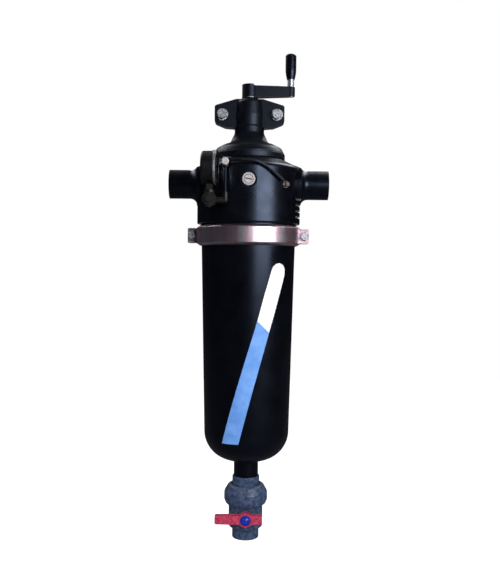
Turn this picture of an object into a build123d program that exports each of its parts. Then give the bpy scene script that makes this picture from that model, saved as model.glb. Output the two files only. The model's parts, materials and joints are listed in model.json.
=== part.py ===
# Hand-cranked suction-scanning screen filter with a union ball valve on its drain.
# Millimetres. +Z up the vessel axis from the mouth of the drain, +X towards the outlet port,
# and the bolts, the gauge and the valve handle face -Y.

import os
from math import atan2, cos, pi, radians, sin, sqrt, tan

from build123d import *

os.makedirs("parts", exist_ok=True)

# Clearances
journal_gap = 0.05  # radial, a shaft in its bearing
running_gap = 0.3  # between pieces that move past each other
fitted_gap = 0.1  # between pieces assembled and left alone
seal_gap = 0.02  # a seal beside the wall that it presses on

# Drain valve
drain_thread_r = 23.9
drain_thread_length = 20.0
drain_wall = 4.1
drain_web = 8.0
ball_r = 26.0
ball_bore_r = 18.0
valve_wall = 8.7
valve_neck_wall = 11.6
valve_neck_length = 23.0
stem_r = 8.0
stem_boss_wall = 7.5
stem_square = 11.0

# Drain valve handle
handle_thick = 16.0
handle_long_end = 63.0
handle_short_end = 34.0
handle_half_height = 9.5
handle_hub_wall = 6.0
handle_wall = 3.0
cap_r = 10.8
cap_height = 6.0
cap_rim = 1.5

# Union between the valve and the bowl
nut_wall = 6.9
nut_below = 25.5  # how far the nut reaches down over the valve's neck
nut_above = 15.5
nut_flutes = 12
union_flange_height = 6.0
union_tail_wall = 4.5
union_tail_length = 33.0

# Bowl
spigot_shoulder = 1.7
spigot_thread_length = 19.5
spigot_length = 47.0
bowl_length = 457.0
bowl_bottom_slope = 12.0  # degrees
bowl_knuckle_r = 60.0
bowl_top_r = 97.4
bowl_draft = 1.28  # degrees
bowl_wall = 6.0
standpipe_seat_r = 32.0
standpipe_seat_depth = 3.0

# Clamped joint between the bowl and the head
flange_rim = 8.0  # how far the rim stands out from the bowl's wall
flange_root = 1.6
flange_rim_half = 12.0
flange_root_half = 18.0
seal_groove_wall = 1.6
seal_groove_width = 5.0
seal_groove_depth = 4.0
clamp_sheet = 2.2
clamp_ear_gap = 5.0
clamp_ear_thick = 3.2
clamp_ear_width = 18.0
clamp_ear_height = 31.0
clamp_bolt_r = 5.0
clamp_bolt_flats = 16.0

# Head
skirt_out = 9.6  # how far the skirt stands out from the bowl's wall
skirt_height = 117.0
skirt_above_flange = 4.5
roof_slope = 26.57  # degrees
roof_wall = 9.0
collar_r = 66.0
collar_height = 8.5
collar_wall = 9.0
port_above_skirt = 84.2
port_r = 29.8
port_wall = 5.8
port_neck = 1.0  # the neck behind the thread is this much smaller
port_length = 58.0
port_thread_length = 42.5
port_flare = 15.0
fin_count = 4
fin_pitch = 12.2
fin_gap = 4.2
fin_depth = 9.0
fin_above_skirt = 13.5
fin_half_angle = 34.0  # degrees
front_plug_r = 12.6

# Drive sleeve, with the hexagonal top of the scanner in it
sleeve_r = 17.0
sleeve_wall = 7.0  # at the corners of the hexagon's flats
sleeve_collar_step = 7.0
sleeve_collar_height = 8.0
sleeve_collar_above = 6.0
sleeve_upper_step = 3.0
hexagon_length = 90.5
scanner_travel = 64.0

# Bonnet
bonnet_rim_out = 8.4
bonnet_rim_height = 13.5
dome_height = 25.0
neck_height = 53.0
neck_spigot_wall = 2.5
neck_spigot_height = 14.0
neck_flange_step = 4.0
neck_flange_height = 6.0
neck_step = 4.6
seal_wall = 2.5
seal_height = 4.0
seal_shelf_depth = 36.0
seal_shelf_thick = 8.0
nut_pocket_r = 24.0
nut_pocket_depth = 26.0
nut_pocket_wall = 9.0

# Split housing round the drive
housing_height = 62.5
housing_taper = 2.1
ear_reach = 72.2
ear_height = 40.0
ear_thick = 13.0
ear_above = 29.0
ear_pad = 1.5
bolt_spacing = 113.0
bolt_r = 6.0
bolt_flats = 19.0
bolt_head_height = 7.5
washer_r = 12.0
washer_height = 2.5

# Crank
crank_above = 4.5
crank_hub_r = 16.0
crank_hub_height = 26.0
crank_cover = 7.0  # over the square end of the sleeve
crank_radius = 85.0
crank_root_width = 23.0
crank_tip_r = 9.0
crank_tip_height = 22.0
spindle_r = 7.0
spindle_height = 16.0
spindle_pin_r = 4.0
spindle_root_r = 5.0
grip_r = 11.2
grip_height = 52.0

# Scanner and screen
scanner_tube_r = 14.0
scanner_tube_wall = 3.0
scanner_tube_foot = 8.0  # above the bowl's corner
nozzle_above = 22.0
nozzle_r = 9.0
screen_r = 62.0
screen_wall = 3.0
screen_foot = 84.0  # above the bowl's corner
screen_into_head = 26.5
mesh_wall = 0.8
screen_columns = 8
screen_rows = 7
screen_socket_gap = 4.0
screen_socket_wall = 5.0
screen_socket_above = 10.5
duct_wall = 5.0
standpipe_wall = 4.0
bush_wall = 3.5
bush_height = 30.0

# Pressure gauge, its selector valve and the tube to the outlet side
gauge_x = -75.4
gauge_r = 33.5
gauge_thick = 30.0
gauge_turn = 4.0  # degrees towards the front
gauge_above_port = 19.3
gauge_stem_square = 12.0
needle_length = 24.0
selector_below_port = 41.7
selector_r = 14.0
selector_boss_length = 16.0
selector_forward = 12.0  # the selector's front face, before the gauge's middle
selector_knob_r = 12.5
selector_collar = 4.0
tap_r = 5.0
tap_length = 10.0
tee_angle = 23.5  # degrees round from the front
tee_out = 7.5
tee_r = 7.2
tee_height = 19.0
tee_above_skirt = 108.5
tube_r = 3.0
tube_bore_r = 2.0
elbow_angle = 41.4  # degrees round from the front
elbow_out = 8.7
elbow_r = 7.5
elbow_below_port = 7.1

# Radii that follow from these
cavity_r = ball_r + 1.0
valve_barrel_r = cavity_r + valve_wall
valve_neck_r = cavity_r + valve_neck_wall
nut_r = valve_neck_r + nut_wall
flange_rim_r = bowl_top_r + flange_rim
flange_root_r = bowl_top_r + flange_root
bowl_bore_r = bowl_top_r - bowl_wall
head_r = bowl_top_r + skirt_out
collar_bore_r = collar_r - collar_wall
bonnet_rim_r = collar_r + bonnet_rim_out
port_bore_r = port_r - port_wall
port_reach = head_r + port_length
sleeve_collar_r = sleeve_r + sleeve_collar_step
sleeve_upper_r = sleeve_r - sleeve_upper_step
hex_flats = 2 * (sleeve_r - sleeve_wall)
sleeve_square = hex_flats - 4.0
scanner_thread_r = hex_flats / 2 - 0.5
seal_bore_r = sleeve_r + seal_wall
neck_spigot_r = seal_bore_r + neck_spigot_wall
neck_flange_r = neck_spigot_r + neck_flange_step
neck_r = neck_flange_r + neck_step
housing_barrel_r = neck_r - fitted_gap
scanner_tube_bore_r = scanner_tube_r - scanner_tube_wall
screen_socket_r = screen_r + screen_socket_gap

# Heights, from the mouth of the drain upwards
seat_low = drain_thread_length + drain_web
ball_height = seat_low + ball_r
seat_high = ball_height + ball_r
valve_top = seat_high + 18.0
valve_neck_low = valve_top - valve_neck_length
union_top = valve_top + union_tail_length
bowl_corner_height = union_top + spigot_length
split_height = bowl_corner_height + bowl_length
head_low = split_height + flange_root_half + skirt_above_flange
roof_edge_height = head_low + skirt_height
roof_rise = tan(radians(roof_slope))
roof_top = roof_edge_height + (head_r - collar_r - 1.0) * roof_rise
collar_top = roof_top + collar_height
port_height = head_low + port_above_skirt
neck_shoulder = collar_top + neck_height
neck_top = neck_shoulder + neck_spigot_height
seal_shelf = neck_top - seal_shelf_depth
nut_pocket_top = seal_shelf - seal_shelf_thick
nut_pocket_low = nut_pocket_top - nut_pocket_depth
sleeve_low = nut_pocket_top + 3.0
sleeve_collar_low = neck_top + sleeve_collar_above
hex_top = sleeve_low + hexagon_length
housing_high = neck_shoulder + housing_height
ear_middle = neck_shoulder + ear_above
crank_low = housing_high + crank_above
screen_low = bowl_corner_height + screen_foot
screen_high = head_low + screen_into_head
nozzle_low = screen_low + nozzle_above
nozzle_count = int((screen_high - nozzle_low - nozzle_r) / scanner_travel)
selector_height = port_height - selector_below_port
gauge_height = port_height + gauge_above_port
gauge_y = -sqrt(head_r**2 - (gauge_x + gauge_thick / 2) ** 2) - gauge_r - running_gap
selector_back = -sqrt(head_r**2 - gauge_x**2) - selector_boss_length
selector_front = gauge_y - selector_forward
tee_low = head_low + tee_above_skirt
tee_high = tee_low + tee_height
tee_x = -(head_r + tee_out) * sin(radians(tee_angle))
tee_y = -(head_r + tee_out) * cos(radians(tee_angle))
elbow_x = (head_r + elbow_out) * sin(radians(elbow_angle))
elbow_y = -(head_r + elbow_out) * cos(radians(elbow_angle))
elbow_height = port_height - elbow_below_port


def outline(*points, radii=None, plane=Plane.XZ):
    """A closed face through the points, with a fillet at each where radii are given."""
    with BuildSketch(plane) as sketch:
        with BuildLine():
            if radii is None:
                Polyline(*points, close=True)
            else:
                FilletPolyline(*points, radius=radii, close=True)
        make_face()
    return sketch.sketch


def ring(inner, outer, low, high, plane=Plane.XZ):
    """The section of a plain ring, ready to revolve about the plane's vertical axis."""
    return outline((inner, low), (outer, low), (outer, high), (inner, high), plane=plane)


def disc(radius, plane, inner=0.0):
    """A round face, or a washer's face, on a plane."""
    with BuildSketch(plane) as sketch:
        Circle(radius)
        if inner:
            Circle(inner, mode=Mode.SUBTRACT)
    return sketch.sketch


def hexagon(flats, plane, bore=0.0):
    """A hexagon by its width across flats, with a round hole if one is wanted."""
    with BuildSketch(plane) as sketch:
        RegularPolygon(flats / 2, 6, major_radius=False)
        if bore:
            Circle(bore, mode=Mode.SUBTRACT)
    return sketch.sketch


def facing(y, x=0.0, z=0.0):
    """A plane whose normal points to the front, -Y."""
    return Plane((x, y, z), x_dir=(1, 0, 0), z_dir=(0, -1, 0))


def save(part, name):
    part.label = name
    export_step(part, f"parts/{name}.step")


def bowl_radius(height):
    """Outer radius of the bowl's drafted wall."""
    top = split_height - flange_root_half
    return bowl_top_r - (top - height) * tan(radians(bowl_draft))


# Valve body: socket end, barrel round the ball, neck for the union nut, boss for the stem
drain_end_r = drain_thread_r + drain_wall
barrel_low = drain_thread_length + 2
seat_height = 12.0
seat_bore_r = ball_bore_r + 0.5
passage_r = ball_bore_r + 1.0
stem_flange_r = stem_r + 3
stem_flange_back = ball_r + 1.5
stem_flange_front = stem_flange_back + 4
stem_boss_front = ball_r + 19
stem_boss_r = stem_r + stem_boss_wall

with BuildPart() as valve_body:
    revolve(
        outline(
            (0, 0),
            (drain_end_r, 0),
            (drain_end_r, barrel_low - 3),
            (valve_barrel_r, barrel_low + 3),
            (valve_barrel_r, valve_neck_low),
            (valve_neck_r, valve_neck_low + 1.5),
            (valve_neck_r, valve_top),
            (0, valve_top),
            radii=[0, 1.2, 3, 4, 0, 0, 1, 0],
        ),
        axis=Axis.Z,
    )
    extrude(disc(stem_boss_r, facing(0, z=ball_height)), amount=stem_boss_front)
    revolve(ring(0, drain_thread_r, 0, drain_thread_length), axis=Axis.Z, mode=Mode.SUBTRACT)
    revolve(ring(0, ball_bore_r, 0, valve_top), axis=Axis.Z, mode=Mode.SUBTRACT)
    revolve(ring(0, cavity_r, seat_low, valve_top), axis=Axis.Z, mode=Mode.SUBTRACT)
    extrude(
        disc(stem_flange_r + running_gap, facing(0, z=ball_height)),
        amount=stem_flange_front + running_gap,
        mode=Mode.SUBTRACT,
    )
    extrude(
        disc(stem_r + journal_gap, facing(0, z=ball_height)),
        amount=stem_boss_front,
        mode=Mode.SUBTRACT,
    )
save(valve_body.part, "valve_body")

# Seats above and below the ball, and the threaded ring that holds them
with BuildPart() as ball_seats:
    for low in (seat_low, seat_high - seat_height):
        revolve(ring(seat_bore_r, cavity_r - fitted_gap, low, low + seat_height), axis=Axis.Z)
    with Locations((0, 0, ball_height)):
        Sphere(ball_r + journal_gap, mode=Mode.SUBTRACT)
save(ball_seats.part, "ball_seats")

carrier_height = 11.0
key_slot_depth = 3.0
with BuildPart() as seat_carrier:
    revolve(
        ring(seat_bore_r, cavity_r - fitted_gap, seat_high, seat_high + carrier_height),
        axis=Axis.Z,
    )
    with BuildSketch(Plane.XY.offset(seat_high + carrier_height - key_slot_depth)):
        Rectangle(2 * cavity_r + 2, 5)
    extrude(amount=key_slot_depth + 1, mode=Mode.SUBTRACT)
save(seat_carrier.part, "seat_carrier")

# Ball, shut: its bore lies along X. The slot for the stem's tang is in the front.
tang_length = 20.0
tang_width = 6.0
tang_depth = 6.0
with BuildPart() as valve_ball:
    with Locations((0, 0, ball_height)):
        Sphere(ball_r)
        Cylinder(ball_bore_r, 3 * ball_r, rotation=(0, 90, 0), mode=Mode.SUBTRACT)
    with Locations((0, -ball_r, ball_height)):
        Box(
            tang_length + 2 * fitted_gap + 4,
            2 * tang_depth,
            tang_width + 2 * fitted_gap,
            mode=Mode.SUBTRACT,
        )
save(valve_ball.part, "valve_ball")

# Stem: tang, thrust flange, journal with two seal grooves, square end
stem_groove_r = stem_r - 2
stem_grooves = [stem_flange_front + 3.5, stem_flange_front + 8.0]
stem_groove_width = 2.2
handle_back = stem_boss_front + 1.5
handle_front = handle_back + handle_thick
stem_end = handle_front - 4
with BuildPart() as valve_stem:
    extrude(
        disc(stem_r, facing(-stem_flange_front, z=ball_height)),
        amount=stem_boss_front - stem_flange_front + 1,
    )
    extrude(
        disc(stem_flange_r, facing(-stem_flange_back, z=ball_height)),
        amount=stem_flange_front - stem_flange_back,
    )
    with BuildSketch(facing(-(ball_r - tang_depth + fitted_gap), z=ball_height)):
        Rectangle(tang_length, tang_width)
    extrude(amount=tang_depth + 2)
    with BuildSketch(facing(-stem_flange_front, z=ball_height)):
        Rectangle(stem_square, stem_square)
    extrude(amount=stem_end - stem_flange_front)
    for groove in stem_grooves:
        extrude(
            disc(stem_r + 1, facing(-groove, z=ball_height), inner=stem_groove_r),
            amount=stem_groove_width,
            mode=Mode.SUBTRACT,
        )
save(valve_stem.part, "valve_stem")

with BuildPart() as stem_seals:
    for groove in stem_grooves:
        extrude(
            disc(stem_r, facing(-groove - 0.1, z=ball_height), inner=stem_groove_r + fitted_gap),
            amount=stem_groove_width - 0.2,
        )
save(stem_seals.part, "stem_seals")

# Handle: a tapered lever, hollow at the back, on a round hub with a square socket
handle_hub_r = stem_r + handle_hub_wall
hollow_depth = handle_thick - handle_wall
screw_hole_r = 4.1
with BuildPart() as valve_handle:
    lever = outline(
        (-handle_long_end, -handle_half_height + 1),
        (0, -handle_half_height),
        (handle_short_end, -handle_half_height + 1.5),
        (handle_short_end, handle_half_height - 1.5),
        (0, handle_half_height),
        (-handle_long_end, handle_half_height - 1),
        radii=[3, 0, 4, 4, 0, 3],
        plane=facing(-handle_back, z=ball_height),
    )
    extrude(lever, amount=handle_thick)
    fillet(faces().sort_by(Axis.Y)[0].edges(), radius=1.8)
    with BuildSketch(facing(-handle_back, z=ball_height)):
        for end, way in ((handle_long_end, -1), (handle_short_end, 1)):
            with Locations((way * (end + handle_hub_r) / 2, 0)):
                Rectangle(
                    end - handle_hub_r - 2 * handle_wall,
                    2 * (handle_half_height - 2 - handle_wall),
                )
    extrude(amount=hollow_depth, mode=Mode.SUBTRACT)
    extrude(disc(handle_hub_r, facing(-handle_back, z=ball_height)), amount=handle_thick)
    with BuildSketch(facing(-handle_back, z=ball_height)):
        Rectangle(stem_square + 2 * fitted_gap, stem_square + 2 * fitted_gap)
    extrude(amount=stem_end - handle_back + fitted_gap, mode=Mode.SUBTRACT)
    extrude(
        disc(screw_hole_r, facing(-handle_back, z=ball_height)),
        amount=handle_thick,
        mode=Mode.SUBTRACT,
    )
save(valve_handle.part, "valve_handle")

# Round cap over the middle of the handle, with the stub that snaps into it
cap_sphere_r = (cap_r**2 + cap_height**2) / (2 * cap_height)
with BuildPart() as handle_cap:
    with BuildSketch(Plane.XZ):
        with BuildLine():
            Line((0, 0), (cap_r, 0))
            Line((cap_r, 0), (cap_r, cap_rim))
            RadiusArc((cap_r, cap_rim), (0, cap_height + cap_rim), -cap_sphere_r)
            Line((0, cap_height + cap_rim), (0, 0))
        make_face()
    revolve(axis=Axis.Z)
    with BuildSketch(Plane.XY):
        Circle(screw_hole_r - fitted_gap)
    extrude(amount=-3.5)
handle_cap_part = handle_cap.part.rotate(Axis.X, 90).translate((0, -handle_front, ball_height))
save(handle_cap_part, "handle_cap")

# Union: seal on the valve's top face, flanged tail, and the nut that draws them together
union_seal_r = cavity_r + 3
union_seal_width = 3.4
union_seal_height = 2.4
union_tail_r = drain_thread_r + union_tail_wall
with BuildPart() as union_seal:
    revolve(
        ring(
            union_seal_r,
            union_seal_r + union_seal_width,
            valve_top,
            valve_top + union_seal_height,
        ),
        axis=Axis.Z,
    )
save(union_seal.part, "union_seal")

tail_seat = valve_top + fitted_gap
tail_flange_top = tail_seat + union_flange_height
with BuildPart() as union_tail:
    revolve(
        outline(
            (passage_r, tail_seat),
            (valve_neck_r - 1, tail_seat),
            (valve_neck_r - 1, tail_flange_top),
            (union_tail_r, tail_flange_top),
            (union_tail_r, union_top),
            (drain_thread_r, union_top),
            (drain_thread_r, union_top - spigot_thread_length - 1),
            (passage_r, union_top - spigot_thread_length - 4),
            radii=[0, 0, 0, 0, 1.5, 0, 0, 0],
        ),
        axis=Axis.Z,
    )
    revolve(
        ring(
            union_seal_r - 0.4,
            union_seal_r + union_seal_width + 0.4,
            tail_seat,
            valve_top + union_seal_height + fitted_gap,
        ),
        axis=Axis.Z,
        mode=Mode.SUBTRACT,
    )
save(union_tail.part, "union_tail")

nut_low = valve_top - nut_below
nut_high = valve_top + nut_above
nut_mouth_r = union_tail_r + 2.2
flute_r = 14.0
flute_depth = 0.8
with BuildPart() as union_nut:
    revolve(
        outline(
            (valve_neck_r + fitted_gap, nut_low),
            (nut_r - 4, nut_low),
            (nut_r, nut_low + 9),
            (nut_r, nut_high - 16),
            (nut_r - 9, nut_high),
            (nut_mouth_r, nut_high),
            (nut_mouth_r, tail_flange_top + fitted_gap),
            (valve_neck_r + fitted_gap, tail_flange_top + fitted_gap),
            radii=[0, 3, 8, 12, 7, 0, 0, 0],
        ),
        axis=Axis.Z,
    )
    with BuildSketch(Plane.XY.offset(nut_low)):
        with PolarLocations(nut_r + flute_r - flute_depth, nut_flutes):
            Circle(flute_r)
    extrude(amount=nut_high - nut_low, mode=Mode.SUBTRACT)
save(union_nut.part, "union_nut")

# Bowl: threaded spigot, domed bottom, drafted wall, flange for the clamp, seat for the standpipe
corner_r = bowl_radius(bowl_corner_height)
spigot_r = drain_thread_r + spigot_shoulder
spigot_top = bowl_corner_height - (corner_r - spigot_r) * tan(radians(bowl_bottom_slope))
knuckle_limit = (corner_r - spigot_r - 8) / tan(radians(90 - bowl_bottom_slope) / 2)
knuckle_r = min(bowl_knuckle_r, knuckle_limit)
inner_corner_height = bowl_corner_height + bowl_wall
inner_corner_r = bowl_radius(inner_corner_height) - bowl_wall
inner_drop = (inner_corner_r - standpipe_seat_r) * tan(radians(bowl_bottom_slope))
inner_floor = inner_corner_height - inner_drop
standpipe_low = inner_floor - standpipe_seat_depth
bowl_flange_low = split_height - flange_root_half
seal_groove_r = bowl_bore_r + seal_groove_wall
with BuildPart() as bowl:
    revolve(
        outline(
            (passage_r, union_top - spigot_thread_length),
            (drain_thread_r - fitted_gap, union_top - spigot_thread_length),
            (drain_thread_r - fitted_gap, union_top),
            (spigot_r, union_top),
            (spigot_r, spigot_top),
            (corner_r, bowl_corner_height),
            (bowl_top_r, bowl_flange_low - 3),
            (flange_root_r, bowl_flange_low),
            (flange_rim_r, split_height - flange_rim_half),
            (flange_rim_r, split_height),
            (bowl_bore_r, split_height),
            (inner_corner_r, inner_corner_height),
            (standpipe_seat_r, inner_floor),
            (standpipe_seat_r, standpipe_low),
            (passage_r, standpipe_low),
            radii=[0, 0, 0, 0, 6, knuckle_r, 0, 0]
            + [1, 0, 0, knuckle_r - bowl_wall, 0, 0, 0],
        ),
        axis=Axis.Z,
    )
    revolve(
        ring(
            seal_groove_r,
            seal_groove_r + seal_groove_width,
            split_height - seal_groove_depth,
            split_height,
        ),
        axis=Axis.Z,
        mode=Mode.SUBTRACT,
    )
save(bowl.part, "bowl")

with BuildPart() as body_seal:
    revolve(
        ring(
            seal_groove_r + fitted_gap,
            seal_groove_r + seal_groove_width - fitted_gap,
            split_height - seal_groove_depth,
            split_height,
        ),
        axis=Axis.Z,
    )
save(body_seal.part, "body_seal")

# Clamp: two rolled halves of channel with bolted ears at the sides
clamp_in = flange_rim_r + 0.4
clamp_out = clamp_in + clamp_sheet
clamp_slope = atan2(flange_rim_r - flange_root_r, flange_root_half - flange_rim_half)
clamp_lip_r = flange_root_r + 1.0
clamp_rim = flange_rim_half + 0.2
clamp_bolt_x = clamp_out + 9.5
clamp_lip = clamp_rim + (clamp_in - clamp_lip_r) / tan(clamp_slope)
clamp_section = [
    (clamp_in, split_height - clamp_rim),
    (clamp_in, split_height + clamp_rim),
    (clamp_lip_r, split_height + clamp_lip),
    (clamp_lip_r, split_height + clamp_lip + 1.6 * clamp_sheet),
    (clamp_out, split_height + clamp_rim + 1.8 * clamp_sheet),
    (clamp_out, split_height - clamp_rim - 1.8 * clamp_sheet),
    (clamp_lip_r, split_height - clamp_lip - 1.6 * clamp_sheet),
    (clamp_lip_r, split_height - clamp_lip),
]


def clamp_half(side):
    """One half of the clamp: side is -1 at the front and +1 at the back."""
    with BuildPart() as half:
        revolve(outline(*clamp_section, radii=[0, 0, 0, 0.6, 3, 3, 0.6, 0]), axis=Axis.Z)
        with Locations((0, -side * (clamp_out - clamp_ear_gap / 2), split_height)):
            Box(3 * clamp_out, 2 * clamp_out, 60, mode=Mode.SUBTRACT)
        ear_plane = Plane.XZ.offset(-side * clamp_ear_gap / 2)
        with BuildSketch(ear_plane):
            for way in (-1, 1):
                with Locations((way * (clamp_bolt_x - 1), split_height)):
                    RectangleRounded(clamp_ear_width + 2, clamp_ear_height, 3)
        extrude(amount=-side * clamp_ear_thick)
        with BuildSketch(ear_plane):
            for way in (-1, 1):
                for level in (-1, 1):
                    middle = split_height + level * (clamp_ear_height / 2 - 1.3)
                    with Locations((way * (clamp_bolt_x - 1), middle)):
                        Rectangle(clamp_ear_width - 4, 2.6)
        extrude(amount=-side * 9)
        band_half = clamp_ear_height / 2 + 0.5
        revolve(
            ring(0, clamp_in, split_height - band_half, split_height + band_half),
            axis=Axis.Z,
            mode=Mode.SUBTRACT,
        )
        with Locations((-clamp_bolt_x, 0, split_height), (clamp_bolt_x, 0, split_height)):
            Cylinder(clamp_bolt_r + fitted_gap, 60, rotation=(90, 0, 0), mode=Mode.SUBTRACT)
    return half.part


save(clamp_half(-1), "clamp_front_half")
save(clamp_half(1), "clamp_rear_half")

ear_face = clamp_ear_gap / 2 + clamp_ear_thick
with BuildPart() as clamp_bolts:
    for x in (-clamp_bolt_x, clamp_bolt_x):
        extrude(hexagon(clamp_bolt_flats, facing(-ear_face, x=x, z=split_height)), amount=6.5)
        shank = disc(clamp_bolt_r, facing(-ear_face, x=x, z=split_height))
        extrude(shank, amount=-2 * ear_face - 12)
save(clamp_bolts.part, "clamp_bolts")

with BuildPart() as clamp_nuts:
    for x in (-clamp_bolt_x, clamp_bolt_x):
        nut = hexagon(
            clamp_bolt_flats,
            facing(ear_face, x=x, z=split_height),
            bore=clamp_bolt_r + seal_gap,
        )
        extrude(nut, amount=-8)
save(clamp_nuts.part, "clamp_nuts")


def tapping(x, y, height):
    """A plane on the skirt that faces straight out below a fitting."""
    reach = sqrt(x**2 + y**2)
    out = (x / reach, y / reach, 0)
    foot = (head_r * out[0], head_r * out[1], height)
    return Plane(foot, x_dir=(-out[1], out[0], 0), z_dir=out)


tee_tap = tapping(tee_x, tee_y, tee_low + 3 + tap_r)
elbow_tap = tapping(elbow_x, elbow_y, elbow_height)
tap_depth = 16.0


def roof_underside(radius):
    """Height of the underside of the sloping roof."""
    return roof_edge_height + (head_r - radius) * roof_rise - roof_wall


# Ports: threaded ends on necks that flare into the skirt, trimmed to the slope of the roof
port_plane = Plane((0, 0, port_height), x_dir=(0, 1, 0), z_dir=(1, 0, 0))
port_axis = Axis((0, 0, port_height), (1, 0, 0))
port_root = 0.75 * head_r
thread_start = port_reach - port_thread_length
flare_r = port_r + port_flare
roof_reach = 2 * head_r
with BuildPart() as ports:
    for way in (-1, 1):
        with BuildSketch(Plane.XY.offset(port_height)):
            with BuildLine():
                Line((way * port_root, 0), (way * thread_start, 0))
                Line((way * thread_start, 0), (way * thread_start, port_r))
                RadiusArc(
                    (way * thread_start, port_r),
                    (way * (thread_start - port_flare), flare_r),
                    way * port_flare,
                )
                Line((way * (thread_start - port_flare), flare_r), (way * port_root, flare_r))
                Line((way * port_root, flare_r), (way * port_root, 0))
            make_face()
        revolve(axis=port_axis)
    for way in (-1, 1):
        above_roof = outline(
            (0, roof_edge_height + head_r * roof_rise - 0.5),
            (way * roof_reach, roof_edge_height + (head_r - roof_reach) * roof_rise - 0.5),
            (way * roof_reach, neck_top),
            (0, neck_top),
        )
        extrude(above_roof, amount=2 * flare_r, both=True, mode=Mode.SUBTRACT)
    for way in (-1, 1):
        neck = disc(port_r - port_neck, port_plane.offset(way * port_root))
        extrude(neck, amount=way * (port_reach - port_root))
        thread = disc(port_r, port_plane.offset(way * thread_start))
        extrude(thread, amount=way * port_thread_length)

# Head: skirt, sloping roof and collar turned in one, with the ports, bosses and grooves
fin_low = head_low + fin_above_skirt
fin_plane = Plane.XZ.rotated((0, 0, -fin_half_angle))
plug_thread_r = front_plug_r - 2
plug_boss_front = head_r + 3
seal_in = collar_bore_r + 1
with BuildPart() as head:
    revolve(
        outline(
            (0, split_height),
            (flange_rim_r, split_height),
            (flange_rim_r, split_height + flange_rim_half),
            (flange_root_r, split_height + flange_root_half),
            (flange_root_r, head_low),
            (head_r, head_low + 2),
            (head_r, roof_edge_height),
            (collar_r + 1, roof_top),
            (collar_r, roof_top),
            (collar_r, collar_top),
            (0, collar_top),
            radii=[0, 0, 1, 0, 0, 2.5, 9, 0, 0, 1, 0],
        ),
        axis=Axis.Z,
    )
    add(ports.part)
    extrude(
        disc(front_plug_r + 4, facing(0, z=port_height)),
        amount=plug_boss_front,
    )
    extrude(
        disc(tap_r + 7, facing(0, x=gauge_x, z=selector_height)),
        amount=-selector_back,
    )
    revolve(
        outline(
            (0, split_height),
            (bowl_bore_r, split_height),
            (bowl_bore_r, roof_underside(bowl_bore_r)),
            (collar_bore_r, roof_underside(collar_bore_r)),
            (collar_bore_r, collar_top),
            (0, collar_top),
            radii=[0, 0, 6, 0, 0, 0],
        ),
        axis=Axis.Z,
        mode=Mode.SUBTRACT,
    )
    revolve(
        ring(seal_in, seal_in + 3, collar_top - 3, collar_top),
        axis=Axis.Z,
        mode=Mode.SUBTRACT,
    )
    for level in range(fin_count):
        low = fin_low + level * fin_pitch
        revolve(
            ring(head_r - fin_depth, head_r + 5, low, low + fin_gap, plane=fin_plane),
            axis=Axis.Z,
            revolution_arc=2 * fin_half_angle,
            mode=Mode.SUBTRACT,
        )
    extrude(disc(port_bore_r, port_plane), amount=port_reach, both=True, mode=Mode.SUBTRACT)
    extrude(
        disc(plug_thread_r, facing(0, z=port_height)),
        amount=plug_boss_front,
        mode=Mode.SUBTRACT,
    )
    extrude(
        disc(tap_r + fitted_gap, facing(selector_back, x=gauge_x, z=selector_height)),
        amount=-tap_length - 2,
        mode=Mode.SUBTRACT,
    )
    for tap in (tee_tap, elbow_tap):
        extrude(disc(tap_r + fitted_gap, tap), amount=-tap_depth, mode=Mode.SUBTRACT)
save(head.part, "head")

# Screen socket under the roof, with the duct that leads the inlet into the screen
duct_r = port_bore_r + duct_wall
socket_low = head_low + screen_socket_above
socket_out = screen_socket_r + screen_socket_wall
duct_start = sqrt(screen_socket_r**2 - duct_r**2)
with BuildPart() as screen_socket:
    extrude(
        disc(duct_r, port_plane.offset(-duct_start)),
        amount=duct_start - bowl_bore_r,
    )
    extrude(
        disc(bowl_bore_r - fitted_gap, Plane.XY.offset(socket_low)),
        amount=roof_top - socket_low,
        mode=Mode.INTERSECT,
    )
    revolve(
        outline(
            (0, socket_low),
            (socket_out, socket_low),
            (socket_out, roof_underside(socket_out) - fitted_gap),
            (screen_socket_r, roof_underside(screen_socket_r) - fitted_gap),
            (0, roof_underside(screen_socket_r) - fitted_gap),
        ),
        axis=Axis.Z,
    )
    extrude(
        disc(screen_socket_r, Plane.XY.offset(socket_low)),
        amount=roof_top - socket_low,
        mode=Mode.SUBTRACT,
    )
    extrude(
        disc(port_bore_r, port_plane),
        amount=-head_r,
        mode=Mode.SUBTRACT,
    )
save(screen_socket.part, "screen_socket")

# Plug in the front of the head, with a slot across it
plug_face = plug_boss_front + 4.5
with BuildPart() as front_plug:
    extrude(
        disc(plug_thread_r - fitted_gap, facing(-bowl_bore_r, z=port_height)),
        amount=plug_boss_front - bowl_bore_r,
    )
    extrude(
        disc(front_plug_r, facing(-plug_boss_front, z=port_height)),
        amount=plug_face - plug_boss_front,
    )
    fillet(faces().sort_by(Axis.Y)[0].edges(), radius=1.2)
    with BuildSketch(facing(-plug_face, z=port_height)):
        with Locations(Location((0, 0, 0), (0, 0, -12))):
            SlotOverall(1.3 * front_plug_r, 3)
    extrude(amount=-2.5, mode=Mode.SUBTRACT)
save(front_plug.part, "front_plug")

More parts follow.
